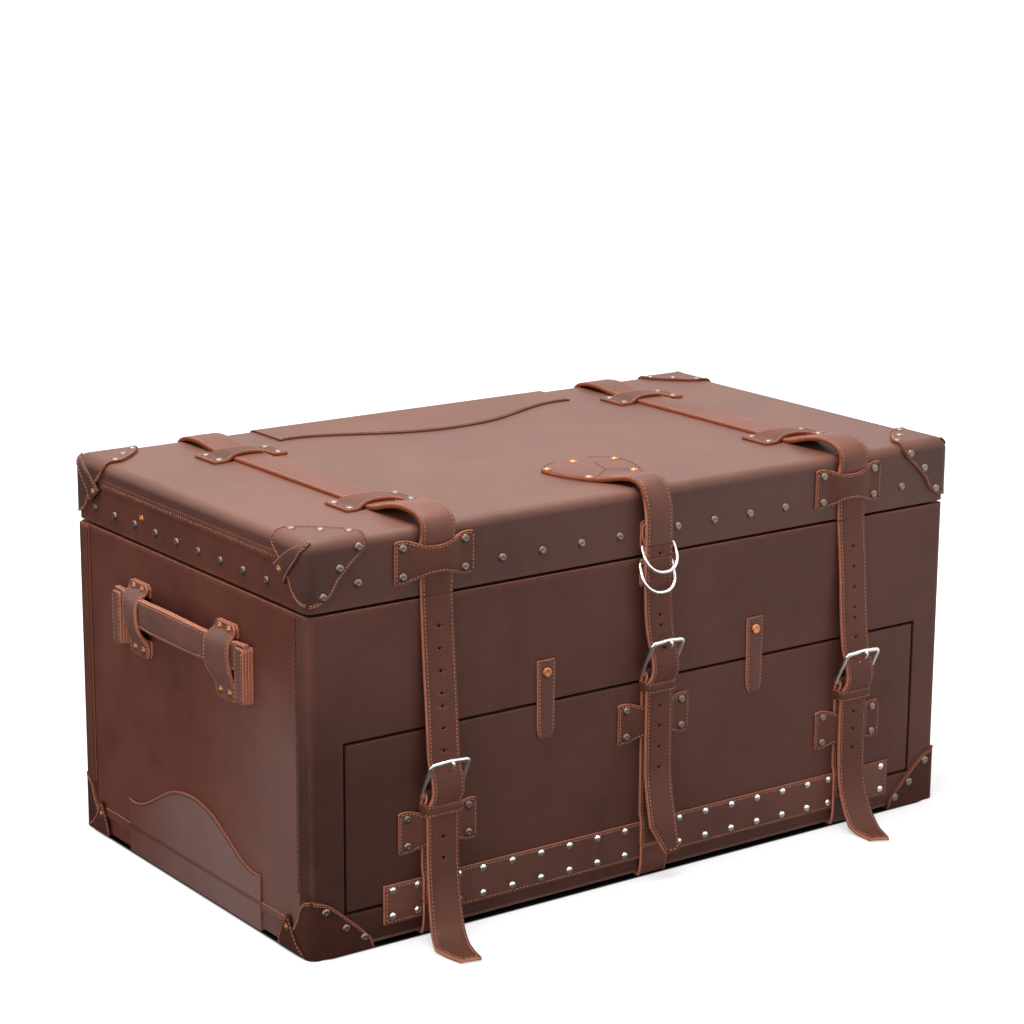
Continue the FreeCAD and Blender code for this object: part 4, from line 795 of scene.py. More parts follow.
    def lathe(self, base, outward, profile, paint=0, sides=20):
        """Turned solid on a base point, from its axis at the top down to the base."""
        base, outward = np.array(base, float), unit(np.array(outward, float))
        guide = X if abs(outward @ X) < 0.9 else Y
        first = unit(np.cross(outward, guide))
        second = np.cross(outward, first)
        cosines, sines = circle(sides)
        ring = cosines[:, None] * first + sines[:, None] * second
        points = [base + outward * profile[0][1]]
        for radius, height in profile[1:]:
            points += list(base + outward * height + ring * radius)
        faces = [(0, 1 + j, 1 + (j + 1) % sides) for j in range(sides)]
        for i in range(len(profile) - 2):
            a, b = 1 + i * sides, 1 + (i + 1) * sides
            faces += [(a + j, b + j, b + (j + 1) % sides, a + (j + 1) % sides) for j in range(sides)]
        last = 1 + (len(profile) - 2) * sides
        faces.append(tuple(range(last, last + sides))[::-1])
        self.add(points, faces, paint)

    def wire(self, path, radius, closed=False, paint=0, sides=12, flat=1.0, face=X, taper=None, raw=0.0):
        """Bent wire along a path; flat squeezes it along the face direction."""
        path = np.asarray(path, float)
        ahead = np.roll(path, -1, 0) - np.roll(path, 1, 0)
        if not closed:
            ahead[0], ahead[-1] = path[1] - path[0], path[-1] - path[-2]
        ahead = unit(ahead)
        across = unit(np.cross(ahead, face))
        out = np.cross(across, ahead)
        girth = np.ones(len(path)) if taper is None else np.asarray(taper)
        cosines, sines = circle(sides)
        rings = (path[:, None] + across[:, None] * (cosines[None] * radius * girth[:, None])[..., None]
                 + out[:, None] * (sines[None] * radius * flat * girth[:, None])[..., None])
        self.tube(rings, closed, paint, np.full(rings.shape[:2], raw))

    def punch(self, holes, radius):
        """Cuts round holes, given as (point, outward), through what is collected so far."""
        cutter = Piece()
        cosines, sines = circle(16)
        for point, outward in holes:
            path = np.array([point - outward * 9, point + outward * 9])
            first = unit(np.cross(outward, X + 0.01 * Z))
            second = np.cross(outward, first)
            ring = (cosines[:, None] * first + sines[:, None] * second) * radius
            cutter.tube(path[:, None] + ring[None])
        strap, tool = self.solid("punching"), cutter.solid("punch")
        cut = strap.modifiers.new("holes", "BOOLEAN")
        cut.operation, cut.solver, cut.object = "DIFFERENCE", "EXACT", tool
        bpy.context.view_layer.update()
        shape = strap.evaluated_get(bpy.context.evaluated_depsgraph_get())
        mesh = bpy.data.meshes.new_from_object(shape)
        self.__init__()
        marks = mesh.attributes.get("raw")
        raw = [mark.value for mark in marks.data] if marks else None
        self.add([v.co / MM for v in mesh.vertices], [tuple(p.vertices) for p in mesh.polygons], 0, raw)
        for spent in (strap, tool):
            bpy.data.objects.remove(spent)

    def solid(self, name):
        """Object of what is collected, with outward faces and the raw edges painted on."""
        mesh = bpy.data.meshes.new(name)
        mesh.from_pydata(np.vstack(self.points) * MM, [], self.faces)
        mesh.polygons.foreach_set("material_index", np.array(self.paints, np.int32))
        mesh.attributes.new("raw", "FLOAT", "POINT").data.foreach_set(
            "value", np.concatenate(self.raw).astype(np.float32))
        shape = bmesh.new()
        shape.from_mesh(mesh)
        bmesh.ops.recalc_face_normals(shape, faces=shape.faces)
        shape.to_mesh(mesh)
        shape.free()
        mesh.polygons.foreach_set("use_smooth", np.ones(len(mesh.polygons), bool))
        mesh.update()
        made = bpy.data.objects.new(name, mesh)
        bpy.context.scene.collection.objects.link(made)
        return made

    def finish(self, name, finishes, body=None, nodes=(), slot=None, sharp=None):
        """Makes the object: its finishes, the body it rides on and the nodes it replaces; slot is not used.
        """
        self.paints = [len(finishes) if paint == CREASE else paint for paint in self.paints]
        made = self.solid(name)
        for each in [*finishes, "crease"]:
            made.data.materials.append(looks()[each])
        if sharp:
            made.data.set_sharp_from_angle(angle=math.radians(sharp))
        if body:
            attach(made, body)
        if nodes:
            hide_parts(*nodes)
        return made


def dress(node, look, bevel=0.0, segments=3):
    """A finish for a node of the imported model, with its sharp edges rolled over."""
    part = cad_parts[node]
    for holder in part.material_slots:
        holder.material = looks()[look]
    if bevel:
        weld = part.modifiers.new("weld", "WELD")
        weld.merge_threshold = 0.02 * MM
        roll = part.modifiers.new("rolled_edges", "BEVEL")
        roll.width, roll.segments, roll.limit_method = bevel * MM, segments, "ANGLE"
        roll.angle_limit = math.radians(40)


def islands(node):
    """Centre, outward direction, radius and rise of each head in a node of fasteners."""
    mesh = bmesh.new()
    mesh.from_mesh(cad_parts[node].data)
    bmesh.ops.remove_doubles(mesh, verts=mesh.verts, dist=0.02 * MM)
    seen, found = set(), []
    for vertex in mesh.verts:
        if vertex in seen:
            continue
        group, queue = [], [vertex]
        seen.add(vertex)
        while queue:
            current = queue.pop()
            group.append(current.co / MM)
            for edge in current.link_edges:
                other = edge.other_vert(current)
                if other not in seen:
                    seen.add(other)
                    queue.append(other)
        low, high = np.min(group, 0), np.max(group, 0)
        extent = high - low
        axis = int(np.argmin(extent))
        middle = (low + high) / 2
        sign = 1.0 if axis == 2 or middle[axis] > 0 else -1.0
        base = middle.copy()
        base[axis] = low[axis] if sign > 0 else high[axis]
        radius = float(np.sort(extent)[1:].mean()) / 2
        found.append((base, np.eye(3)[axis] * sign, radius, float(extent[axis])))
    mesh.free()
    return found


def bone_half(distance, reach):
    """Half height of a bone-shaped loop at a distance from its middle."""
    distance = np.abs(distance) * BONE_REACH / reach
    knots = curve([(-10, 16.0), (0, 15.5), (10, 16.0), (20, 18.5), (30, 22.0), (40, 24.5), (53, 24.2)], 6)
    return np.interp(distance, knots[:, 0], knots[:, 1]) - drawn_in(BONE_REACH - distance, 3.5)


# ------------------------------------------------------------------ routes

def lid_strap_route(x, front_x):
    """Stations of an outer strap: over the lid's front edge, over the lid and down the back."""
    flat = LID_TOP + STRAP_MID
    front, back = -HALF_D - STRAP_MID, HALF_D + STRAP_MID
    hump = [(front_x, y, z) for y, z in [
        (front, LID_TOP - 37), (front, LID_TOP - 24), (front - 2.6, LID_TOP - 14),
        (front - 4.6, LID_TOP - 3), (front - 0.5, LID_TOP + 8), (front + 12, LID_TOP + 14)]]
    return hump + [(x, y, z) for y, z in [
        (front + 34, LID_TOP + 17), (front + 58, LID_TOP + 13), (front + 82, LID_TOP + 5.5),
        (front + 99, flat), (front + 107, flat),
        (back - 106, flat), (back - 98, flat), (back - 78, LID_TOP + 4.2), (back - 48, LID_TOP + 8),
        (back - 22, LID_TOP + 6.5), (back - 3, LID_TOP + 0.5), (back + 2.5, LID_TOP - 14),
        (back, LID_TOP - 40), (back, LID_TOP - 46), (back, 24.0), (back, 16.0)]]


def base_strap_route(x, rise):
    """Stations of a strap from the back, under the case and up to the drop front's hinge."""
    front, back = -HALF_D, HALF_D
    return [(x, back + STRAP_MID, rise), (x, back + STRAP_MID, 8.0), (x, back + 2.4, 3.6),
            (x, back + 1.0, 2.0), (x, back - 9, 2.0), (x, front + 9, 2.0), (x, front - 1.0, 2.0),
            (x, front - 2.4, 3.6), (x, front - ON_BAND, 17.0), (x, front - ON_BAND, 39.0)]


def front_strap_route(run):
    """Stations of a hanging strap: seam, buckle, keeper and free tail, as (x, proud, height)."""
    heel, x = run.heel, run.x
    above = {
        "left": [(-301.5, STRAP_MID, SEAM), (-301.2, 4.0, 354), (-300.9, 7.0, 313), (-300.5, 10.0, 270),
                 (-300.2, 12.0, 232)],
        "centre": [(0, RING_STRAP, SEAM), (0, 12.4, 366), (0.3, 12.8, 340), (1.5, 13.0, 316)],
        "right": [(306.5, STRAP_MID, SEAM), (308.3, 4.0, 358), (309, 7.0, 321), (308.8, 10.0, 283),
                  (310, 12.0, 250)],
    }
    below = {
        "left": [(x, 11.2, 92), (x - 0.5, 13.5, 66), (x - 2.5, 19, 44), (x - 6, 28, 26), (x - 12, 41, 12),
                 (x - 19, 58, 4.5), (x - 26, 78, 3), (x - 31, 99, 3.2)],
        "centre": [(x, 11.0, 150), (x, 11.3, 128), (x, 14.5, 107), (x, 20, 83), (x + 0.5, 25, 58),
                   (x + 1.5, 29, 32)],
        "right": [(x, 11.2, 92), (x, 13.0, 64), (x, 17.5, 43), (x - 1, 28, 21), (x - 3, 40, 10),
                  (x - 8, 52, 4.2), (x - 14, 66, 3.2), (x - 20, 78, 3.2)],
    }
    buckle = [(x, 13.5, heel + 42), (x, 18.5, heel + 30), (x, 23.0, heel + 18), (x, 23.5, heel + 6),
              (x, 20.0, heel - 3), (x, 13.5, heel - 10), (x, 11.5, heel - 16), (x, 11.0, heel - 28)]
    stations = above[run.name] + buckle + below[run.name]
    return [(x, -HALF_D - proud, z) for x, proud, z in stations]


def along_frame(distance, out=0.0):
    """Vector up a closed buckle's frame, and out of its face."""
    return np.array([0, -math.sin(TILT) * distance - math.cos(TILT) * out,
                     math.cos(TILT) * distance - math.sin(TILT) * out])


# ------------------------------------------------------------------ operators

class TRUNK_OT_carcass(bpy.types.Operator):
    """Plywood boards, inner rim and the steel lid hinges."""
    bl_idname = "trunk.carcass"
    bl_label = "Carcass and hinges"
    bl_options = {"REGISTER", "UNDO"}

    def execute(self, context):
        for node in ("base_board", "back_board", "left_end_board", "right_end_board", "front_frame",
                     "divider_shelf", "rim_lip", "lid_top_board", "lid_frame", "door_board"):
            dress(node, "plywood", 0.6, 2)
        for node in ("hinge_case_leaves", "hinge_lid_leaves", "hinge_pins"):
            dress(node, "steel", 0.25, 2)
        return {"FINISHED"}


class TRUNK_OT_hides(bpy.types.Operator):
    """Large leathers of the case, the lid and the drop front, with their long seams."""
    bl_idname = "trunk.hides"
    bl_label = "Hides"
    bl_options = {"REGISTER", "UNDO"}

    def execute(self, context):
        for node, look, bevel in (
                ("front_leather", "front", 0.9), ("back_leather", "front", 0.9),
                ("door_leather", "front", 0.0), ("end_leathers", "ends", 0.8),
                ("bottom_leather", "ends", 0.8), ("lid_leather", "lid", 0.8),
                ("lid_end_leathers", "lid_end", 0.8), ("end_wave_overlays", "end_overlay", 0.7),
                ("lid_back_overlay", "lid_overlay", 0.7)):
            dress(node, look, bevel)
        case, lid, hems, strips = Piece(), Piece(), Piece(), Piece()
        for sign in (-1, 1):
            face = sign * (HALF_W + 0.1)
            front_edge = 25.9 - HALF_D
            case.seam([(face, front_edge, 72.0), (face, front_edge, CASE_TOP - 2)], X * sign, 0,
                      pitch=6.4, size_factor=1.7)
            self.binding(strips, sign)
            self.foot(strips, sign)
            self.hem(hems, sign, LID_TOP - 29.5)
            path = self.on_end(sign * (HALF_W + 2.65), self.wave(END_WAVE, 3.2, 3.2))
            case.seam(path, X * sign, 0)
            face = sign * (HALF_W + 2.3)
            path = [(face, END_WAVE_Y - END_WAVE[0] + 0.6, z) for z in (20, 30, 40, 50, 60)]
            path += self.on_end(face, self.wave(END_WAVE, 0.6, 0.4))
            strips.wire(path, 1.0, paint=2, sides=8, face=X * sign, raw=1.0)
        case.finish("case_seams", ["hole_shaded_thread"], "trunk_case")
        strips.finish("end_strips_sewn", ["ends", "hole_shaded_thread", "welt"], "trunk_case",
                      slot="hide_leather")
        path = [(LID_WAVE_X + u, HALF_D - v, LID_TOP + 2.55) for u, v in self.wave(LID_WAVE, 3.2, 3.2)]
        lid.seam(path, Z, 0)
        lid.finish("lid_seams", ["hole_shaded_thread"], "lid")
        hems.finish("lid_end_hems", ["lid_end", "thread"], "lid", slot="hide_leather")
        return {"FINISHED"}

    def binding(self, strips, sign):
        """Upright strip sewn over the back edge of an end."""
        x, y = sign * (HALF_W + 0.9), HALF_D - 16.5
        route = Route([(x, y, 62.0), (x, y, CASE_TOP - 0.5)], Y * -sign, 4.0, (0.3, -0.3))
        route.face(X * sign)
        strips.band(route, 11.5, 11.5, 1.8, groove=2.4, crown=0.0, raw_share=0.4)
        strips.sew_edges(route, 11.5, 3.3, 0.85)

    def foot(self, strips, sign):
        """Upper edge of the bottom leather, between the base caps and the wavy overlay."""
        for near, far in ((-HALF_D + 52, -159.5), (148.5, HALF_D - 52)):
            route = Route([(sign * (HALF_W + 1.1), y, 30.5) for y in (near, far)], Z * sign, 4.0)
            route.face(X * sign)
            strips.band(route, 5.5, 5.5, 2.2, groove=2.2, crown=0.0, raw_ends=(0, 0), raw_share=0.5)
            strips.sew(route, 2.6, 1.0, start=1.0, stop=1.0)

    def hem(self, hems, sign, fold):
        """Lower edge of the lid's top leather on an end, proud of the strip below and whipped."""
        lean = 0.13
        ends = [(sign * (HALF_W + 0.1), y, fold + 4.5) for y in (-HALF_D + 60, HALF_D - 58)]
        route = Route(ends, Z - X * sign * lean, 6.0)
        route.face(X * sign)
        hems.band(route, 5.6, 5.6, 1.8, groove=0, crown=0.0, raw_share=0.25)
        for y in np.arange(-HALF_D + 66, HALF_D - 62, 5.0):
            low, high = sign * (HALF_W + 1.75), sign * (HALF_W + 1.05)
            hems.seam([(low, y, fold + 1.2), (high, y - 2.6, fold + 6.6)], X * sign, 1, 6.0)

    def on_end(self, x, wave):
        """Points of a wavy outline on an end."""
        return [(x, END_WAVE_Y + u, CASE_LOW + v) for u, v in wave]

    def wave(self, full, inset, drop):
        """Outline of a wavy overlay, from its half width and rise, drawn in from its edge."""
        half, rise = full[0] - inset, full[1] - drop
        shares = [(0.0, 1.0), (0.28, 0.94), (0.52, 0.78), (0.74, 0.62), (0.9, 0.56), (1.0, 0.57)]
        whole = [(-u, v) for u, v in shares[:0:-1]] + shares
        return curve([(u * half, v * rise) for u, v in whole])


# Outlines of the caps' leaves as shares (along, up) of their size, and the two sides (y, z) of
# the folded leaves on the ends
LID_LEAF = [(1.0, 0.0), (0.98, 0.15), (0.87, 0.26), (0.68, 0.43), (0.49, 0.64), (0.38, 0.83),
            (0.2, 0.96), (0.0, 1.0)]
TOP_LEAF = [(1.0, 0.0), (0.98, 0.26), (0.77, 0.56), (0.52, 0.8), (0.24, 0.98), (0.0, 1.0)]
BASE_LEAF = [(1.0, 0.0), (0.96, 0.17), (0.74, 0.43), (0.57, 0.6), (0.38, 0.79), (0.22, 0.92),
             (0.0, 1.0)]
LID_TONGUE = [
    [(262, 471.5), (253.4, 470.2), (239.8, 464.3), (226, 456.3), (215.6, 449.4), (199.8, 437.4)],
    [(262, 465.0), (258.2, 461.4), (249.6, 450.5), (240.9, 441.3), (232.2, 432.1), (223.3, 419.1)]]
BASE_FOLD = [
    [(220, 43.0), (213, 35.6), (206, 22.3), (200.5, 10.0), (199.5, 5.0), (203, 2.5)],
    [(223.5, 42.0), (227.6, 32), (234, 22.5), (241.6, 13.5), (249.3, 7.4), (257, 4.0)]]


class TRUNK_OT_corner_caps(bpy.types.Operator):
    """Moulded corner caps with their stitched outlines and folded tongues."""
    bl_idname = "trunk.corner_caps"
    bl_label = "Corner caps"
    bl_options = {"REGISTER", "UNDO"}

    def execute(self, context):
        dress("lid_corner_caps", "lid_cap", 0.7)
        dress("base_corner_caps", "base_cap", 0.7)
        lid, base = Piece(), Piece()
        lid_tree, base_tree = self.tree("lid_corner_caps"), self.tree("base_corner_caps")
        for sx in (-1, 1):
            for sy in (-1, 1):
                corner = np.array([sx * HALF_W, sy * HALF_D, 0])
                flip = np.array([-sx, -sy, 1.0])
                for piece, tree, leaf, leg, drop, along, up, out, level in (
                        (lid, lid_tree, LID_LEAF, 74, 70, X, -Z, Y * sy * 3, LID_TOP),
                        (lid, lid_tree, LID_LEAF, 70, 69, Y, -Z, X * sx * 3, LID_TOP),
                        (lid, lid_tree, TOP_LEAF, 74, 74, X, Y, Z * 3, LID_TOP),
                        (base, base_tree, BASE_LEAF, 79, 69, X, Z, Y * sy * 3, 0),
                        (base, base_tree, LID_LEAF, 50, 69, Y, Z, X * sx * 3, 0)):
                    self.outline(piece, tree, leaf, leg, drop, along, up, out, corner + Z * level, flip)
                self.leaf(lid, sx, sy, LID_TONGUE, LID_TOP + 3, (0, 1))
                self.leaf(base, sx, sy, BASE_FOLD, 1000.0, (1, 1))
        lid.finish("lid_cap_tongues", ["lid_cap", "thread", "welt"], "lid", slot="cap_leather")
        base.finish("base_cap_seams", ["base_cap", "thread", "welt"], "trunk_case", slot="cap_leather")
        return {"FINISHED"}

    def tree(self, node):
        """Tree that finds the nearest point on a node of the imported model."""
        mesh = bmesh.new()
        mesh.from_mesh(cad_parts[node].data)
        tree = BVHTree.FromBMesh(mesh)
        mesh.free()
        return tree

    def outline(self, piece, tree, leaf, leg, drop, along, up, out, corner, flip):
        """Raw welt on the edge of one leaf of a cap and the stitches inside it, laid on the cap."""
        for inset, welt in ((0.9, True), (3.0, False)):
            path, outward = [], []
            for u, v in curve(leaf):
                spot = corner + (along * u * (leg - inset) + up * v * (drop - inset)) * flip + out
                hit, normal, _, _ = tree.find_nearest(Vector(spot * MM))
                path.append(np.array(hit) / MM)
                outward.append(np.array(normal))
            path, outward = np.array(path), np.array(outward)
            steady = outward.copy()
            steady[1:-1] = (outward[:-2] + outward[1:-1] + outward[2:]) / 3
            if welt:
                piece.wire(path, 0.8, paint=2, sides=8, face=out, raw=1.0)
            else:
                piece.seam(path + unit(steady) * 0.1, unit(steady), pitch=3.6, start=3.0)

    def leaf(self, piece, sx, sy, sides, top, raw_ends):
        """Folded leaf of a cap on the end face, between its upper and lower outline."""
        upper, lower = (np.array([self.on_end(y, z, top) for y, z in curve(side, 5)]) for side in sides)
        flip = np.array([sx, sy, 1.0])
        upper, lower = upper * flip, lower * flip
        width = np.linalg.norm(upper - lower, axis=1)
        middle = (upper + lower) / 2
        route = Route(middle, upper - lower, 2.0, PLATE_ROLL)
        route.face(X * sx)
        half = np.interp(route.along, distances(middle), width) / 2
        piece.band(route, half, half, 2.2, 2.4, 0.3, raw_ends=raw_ends, raw_share=0.6)
        piece.sew_edges(route, half, 2.4, 0.95, start=3.0, stop=2.0)

    def on_end(self, y, z, top):
        """Point of the end face of a cap, whose top and upright edges are rounded."""
        high, wide = 15.0, 12.0
        over = np.clip(z - (top - high), 0, high)
        past = np.clip(abs(y) - (HALF_D + 3 - wide), 0, wide)
        sink = high - math.sqrt(high ** 2 - over ** 2) + wide - math.sqrt(wide ** 2 - past ** 2)
        return (HALF_W + 4.0 - sink, y, z)


class TRUNK_OT_lid_straps(bpy.types.Operator):
    """Outer straps over the lid and down the back, and the three straps under the case."""
    bl_idname = "trunk.lid_straps"
    bl_label = "Lid straps"
    bl_options = {"REGISTER", "UNDO"}

    def execute(self, context):
        straps = Piece()
        for x, front_x in ((-305.0, -301.5), (305.0, 305.0)):
            route = Route(smooth(lid_strap_route(x, front_x)), -X, 4.0, START_ROLL + STOP_ROLL)
            straps.band(route, 22, 22, STRAP, sway=0.25, raw_ends=(0, 1))
            straps.sew_edges(route, 22, size("inset"), SEWN)
        made = straps.finish("lid_straps_sewn", ["strap", "thread"], None,
                             ["lid_straps", "back_straps"], "strap_leather")
        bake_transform(made)
        base = Piece()
        for run in RUNS:
            rise = 60.0 if run.name == "centre" else 15.7
            route = Route(smooth(base_strap_route(run.x, rise)), X, 4.0, START_ROLL)
            half = run.width / 2
            base.band(route, half, half, STRAP, sway=0.2)
            base.sew_edges(route, half, size("inset"), SEWN, stop=0.0)
        base.finish("base_straps_sewn", ["strap", "thread"], "trunk_case", ["base_straps"],
                    "strap_leather")
        return {"FINISHED"}


class TRUNK_OT_centre_strap(bpy.types.Operator):
    """Pointed end of the centre strap on the lid, and the strap down to the seam."""
    bl_idname = "trunk.centre_strap"
    bl_label = "Centre strap end"
    bl_options = {"REGISTER", "UNDO"}

    def execute(self, context):
        piece = Piece()
        front, ring = -HALF_D, -HALF_D - RING_STRAP
        stations = [(x, y, LID_TOP + rise) for x, y, rise in (
            (-4, front + 161, 2.0), (-3.7, front + 76, 2.0), (-3.5, front + 60, 2.4), (-3.4, front + 44, 5),
            (-3.2, front + 28, 9), (-3, front + 10, 10.5), (-2.8, front - 3, 6), (-2.2, front - 10, -8),
            (0, ring, -28))] + [(0, ring, SEAM + 14)]
        route = Route(smooth(stations), X, 2.5, START_ROLL)
        knots = curve([(0, 7), (1.2, 13), (4, 20.5), (8, 32), (13, 43), (20, 52), (28, 57.5), (44, 58.3),
                       (63, 55), (80, 48.5), (95, 41), (108, 33), (119, 26), (129, 22), (142, 19.8),
                       (156, 19.2), (240, 19)], 6)
        half = np.interp(route.along, knots[:, 0], knots[:, 1])
        piece.band(route, half, half, STRAP, crown=0.5, raw_ends=(1, 0))
        bend, inset, out = 118.0, 3.4, 1.85
        for side in (inset - half, half - inset):
            piece.sew(route, side, out, 2, 7.0, route.length - bend, 3.4)
            piece.sew(route, side, out, start=bend, stop=0.0)
        path, outward = route.at([4.5, 3.6, 4.5], np.array([-12.0, 0.0, 12.0]), out)
        piece.seam(path, outward, 2)
        top = LID_TOP + 4.35
        for x, y in ((26.6, -191.7), (-27.5, -195.4), (10.2, -139.2)):
            piece.seam(np.linspace((0.7, -174.0, top), (x, y, top), 6), Z, 2, 3.4)
        piece.finish("centre_strap_end_sewn", ["strap", "thread", "hole_shaded_thread"], "lid",
                     ["centre_strap_end"], "strap_leather")
        return {"FINISHED"}


class TRUNK_OT_front_straps(bpy.types.Operator):
    """Three hanging straps with punched holes, each with its part above the seam."""
    bl_idname = "trunk.front_straps"
    bl_label = "Front straps"
    bl_options = {"REGISTER", "UNDO"}

    def execute(self, context):
        for run in RUNS:
            self.tail(run)
            self.head(run)
        return {"FINISHED"}

    def tail(self, run):
        """The strap below the seam: buckle, keeper and free end."""
        piece = Piece()
        route = Route(smooth(front_strap_route(run)), X, 3.0, STOP_ROLL)
        half = run.width / 2 - (0.0 if run.name == "centre" else 1.3)
        left, right = half - 18.0 * np.clip(1 - route.to_end / 36.0, 0, 1), np.full(len(route.along), half)
        piece.band(route, left, right, STRAP, sway=0.25, raw_ends=(0, 1))
        self.holes(piece, route, run.holes)
        inset = size("inset")
        for side in (inset - left, half - inset):
            piece.sew(route, side, SEWN, start=0.5, stop=3.5)
        path, outward = route.at([route.length - inset] * 2, np.array([inset - left[-1], half - inset]), 1.9)
        piece.seam(path, outward)
        made = piece.finish("front_strap_%s_sewn" % run.name, ["tail", "thread"],
                            "front_strap_" + run.name, ["front_strap_" + run.name], "strap_leather")
        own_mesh(made)

    def holes(self, piece, route, levels):
        """Adjusting holes through a strap, at heights along it."""
        places = []
        for z in levels:
            point, outward = route.at(route.reach(z))
            places.append((point[0], outward[0]))
        piece.punch(places, size("hole"))

    def head(self, run):
        """The strap above the seam, from under the lid's loop."""
        if run.name == "centre":
            top, proud, high, low = SEAM + 14, RING_STRAP, 19.0, 19.0
        else:
            top, proud, high, low = LID_TOP - 37.0, STRAP_MID, 22.0, 20.7
        y = -HALF_D - proud
        piece = Piece()
        route = Route([(run.top_x, y, z) for z in (top, SEAM + 4, SEAM)], X, 2.0)
        half = np.interp(route.along, [0, route.length], [high, low])
        piece.band(route, half, half, STRAP, raw_ends=(0, 0))
        if run.name == "centre":
            self.holes(piece, route, [SEAM + 4.5])
        piece.sew_edges(route, half, size("inset"), SEWN, start=0.5, stop=0.5)
        made = piece.finish("strap_head_" + run.name, ["tail", "thread"], None, (), "strap_leather")
        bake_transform(made)


class TRUNK_OT_buckles(bpy.types.Operator):
    """Nickel buckle frames and prongs that hook over the top bar."""
    bl_idname = "trunk.buckles"
    bl_label = "Buckles"
    bl_options = {"REGISTER", "UNDO"}

    def execute(self, context):
        for run in RUNS:
            base = np.array([run.x, -HALF_D - BAR_PROUD, run.heel])
            side = X * (run.width / 2 + 1.3 + 2.3)
            top = along_frame(46.0)
            corners = [(base - side, 3.5), (base + side, 3.5), (base + side + top, 6.0),
                       (base + top + along_frame(2.2), 34.0), (base - side + top, 6.0)]
            hoop = Piece()
            hoop.wire(rounded(corners, True, 8), 3.0, True, face=along_frame(0, 1), flat=0.85)
            hoop.finish("buckle_frame_%s_cast" % run.name, ["nickel"], "buckle_frame_" + run.name,
                        ["buckle_frame_" + run.name], "bright_nickel")
            prong = Piece()
            path = smooth([base + along_frame(d, out) for d, out in (
                (2.5, 2.2), (9, 1.6), (22, 0.2), (34, 0.2), (39.5, 3.2), (42.5, 6.0), (46, 6.8),
                (49.5, 5.2), (51, 3.2))], 2)
            count = len(path)
            taper = np.interp(np.arange(count), [0, count * 0.8, count - 2, count - 1],
                              [1.0, 0.95, 0.85, 0.45])
            prong.wire(path, 2.3, taper=taper)
            turn = np.linspace(0.1, math.tau - 0.1, 20)
            eye = [base + along_frame(math.cos(a) * 3.3, math.sin(a) * 3.3) for a in turn]
            prong.wire(eye, 1.3, True, flat=2.2)
            prong.finish("buckle_prong_%s_drawn" % run.name, ["nickel"], "buckle_prong_" + run.name,
                         ["buckle_prong_" + run.name], "bright_nickel")
        return {"FINISHED"}


class TRUNK_OT_lower_straps(bpy.types.Operator):
    """Straps on the drop front, folded round the buckles' heel bars, and their keepers."""
    bl_idname = "trunk.lower_straps"
    bl_label = "Lower straps and keepers"
    bl_options = {"REGISTER", "UNDO"}

    def execute(self, context):
        straps, keepers = Piece(), Piece()
        turn = BAR_PROUD - STRAP_MID
        for run in RUNS:
            heel, half = run.heel, run.width / 2
            path = [(ON_BAND, 39.0), (ON_BAND, 64.0), (ON_BAND, 68.5), (STRAP_MID, 77.5),
                    (STRAP_MID, 82.0), (STRAP_MID, heel - 8)]
            path = [*smooth(path, 2), *half_turn(BAR_PROUD, heel, turn, 1),
                    (BAR_PROUD + turn, heel - 2.0), (7.5, heel - 9.5), (6.3, heel - 12.5), (6.3, heel - 20.0)]
            route = Route([(run.x, -HALF_D - p, z) for p, z in path], -X, 2.5, STOP_ROLL)
            straps.band(route, half, half, STRAP, sway=0.1, groove=0)
            straps.sew_edges(route, half, size("inset"), 2.05, start=0.0, stop=28.0)
            reach, proud, z = half + 0.4 + 1.1, 18.1, heel - 14.5
            corners = [((run.x + side * reach, -HALF_D - out, z), bend)
                       for side, out, bend in ((-1, 0, 0), (-1, proud, 6.5), (1, proud, 6.5), (1, 0, 0))]
            route = Route(rounded(corners), Z, 2.0, FOLD_ROLL)
            keepers.band(route, 6.3, 6.3, 2.3, groove=1.9, crown=0.5)
            keepers.sew_edges(route, 6.3, 1.9, 1.0, start=12.0, stop=12.0, pitch=4.2)
        made = straps.finish("lower_straps_sewn", ["strap", "thread"], None, ["lower_straps"],
                             "strap_leather")
        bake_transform(made)
        keepers.finish("strap_keepers_sewn", ["loop", "thread"], "drop_front", ["strap_keepers"],
                       "strap_leather")
        return {"FINISHED"}


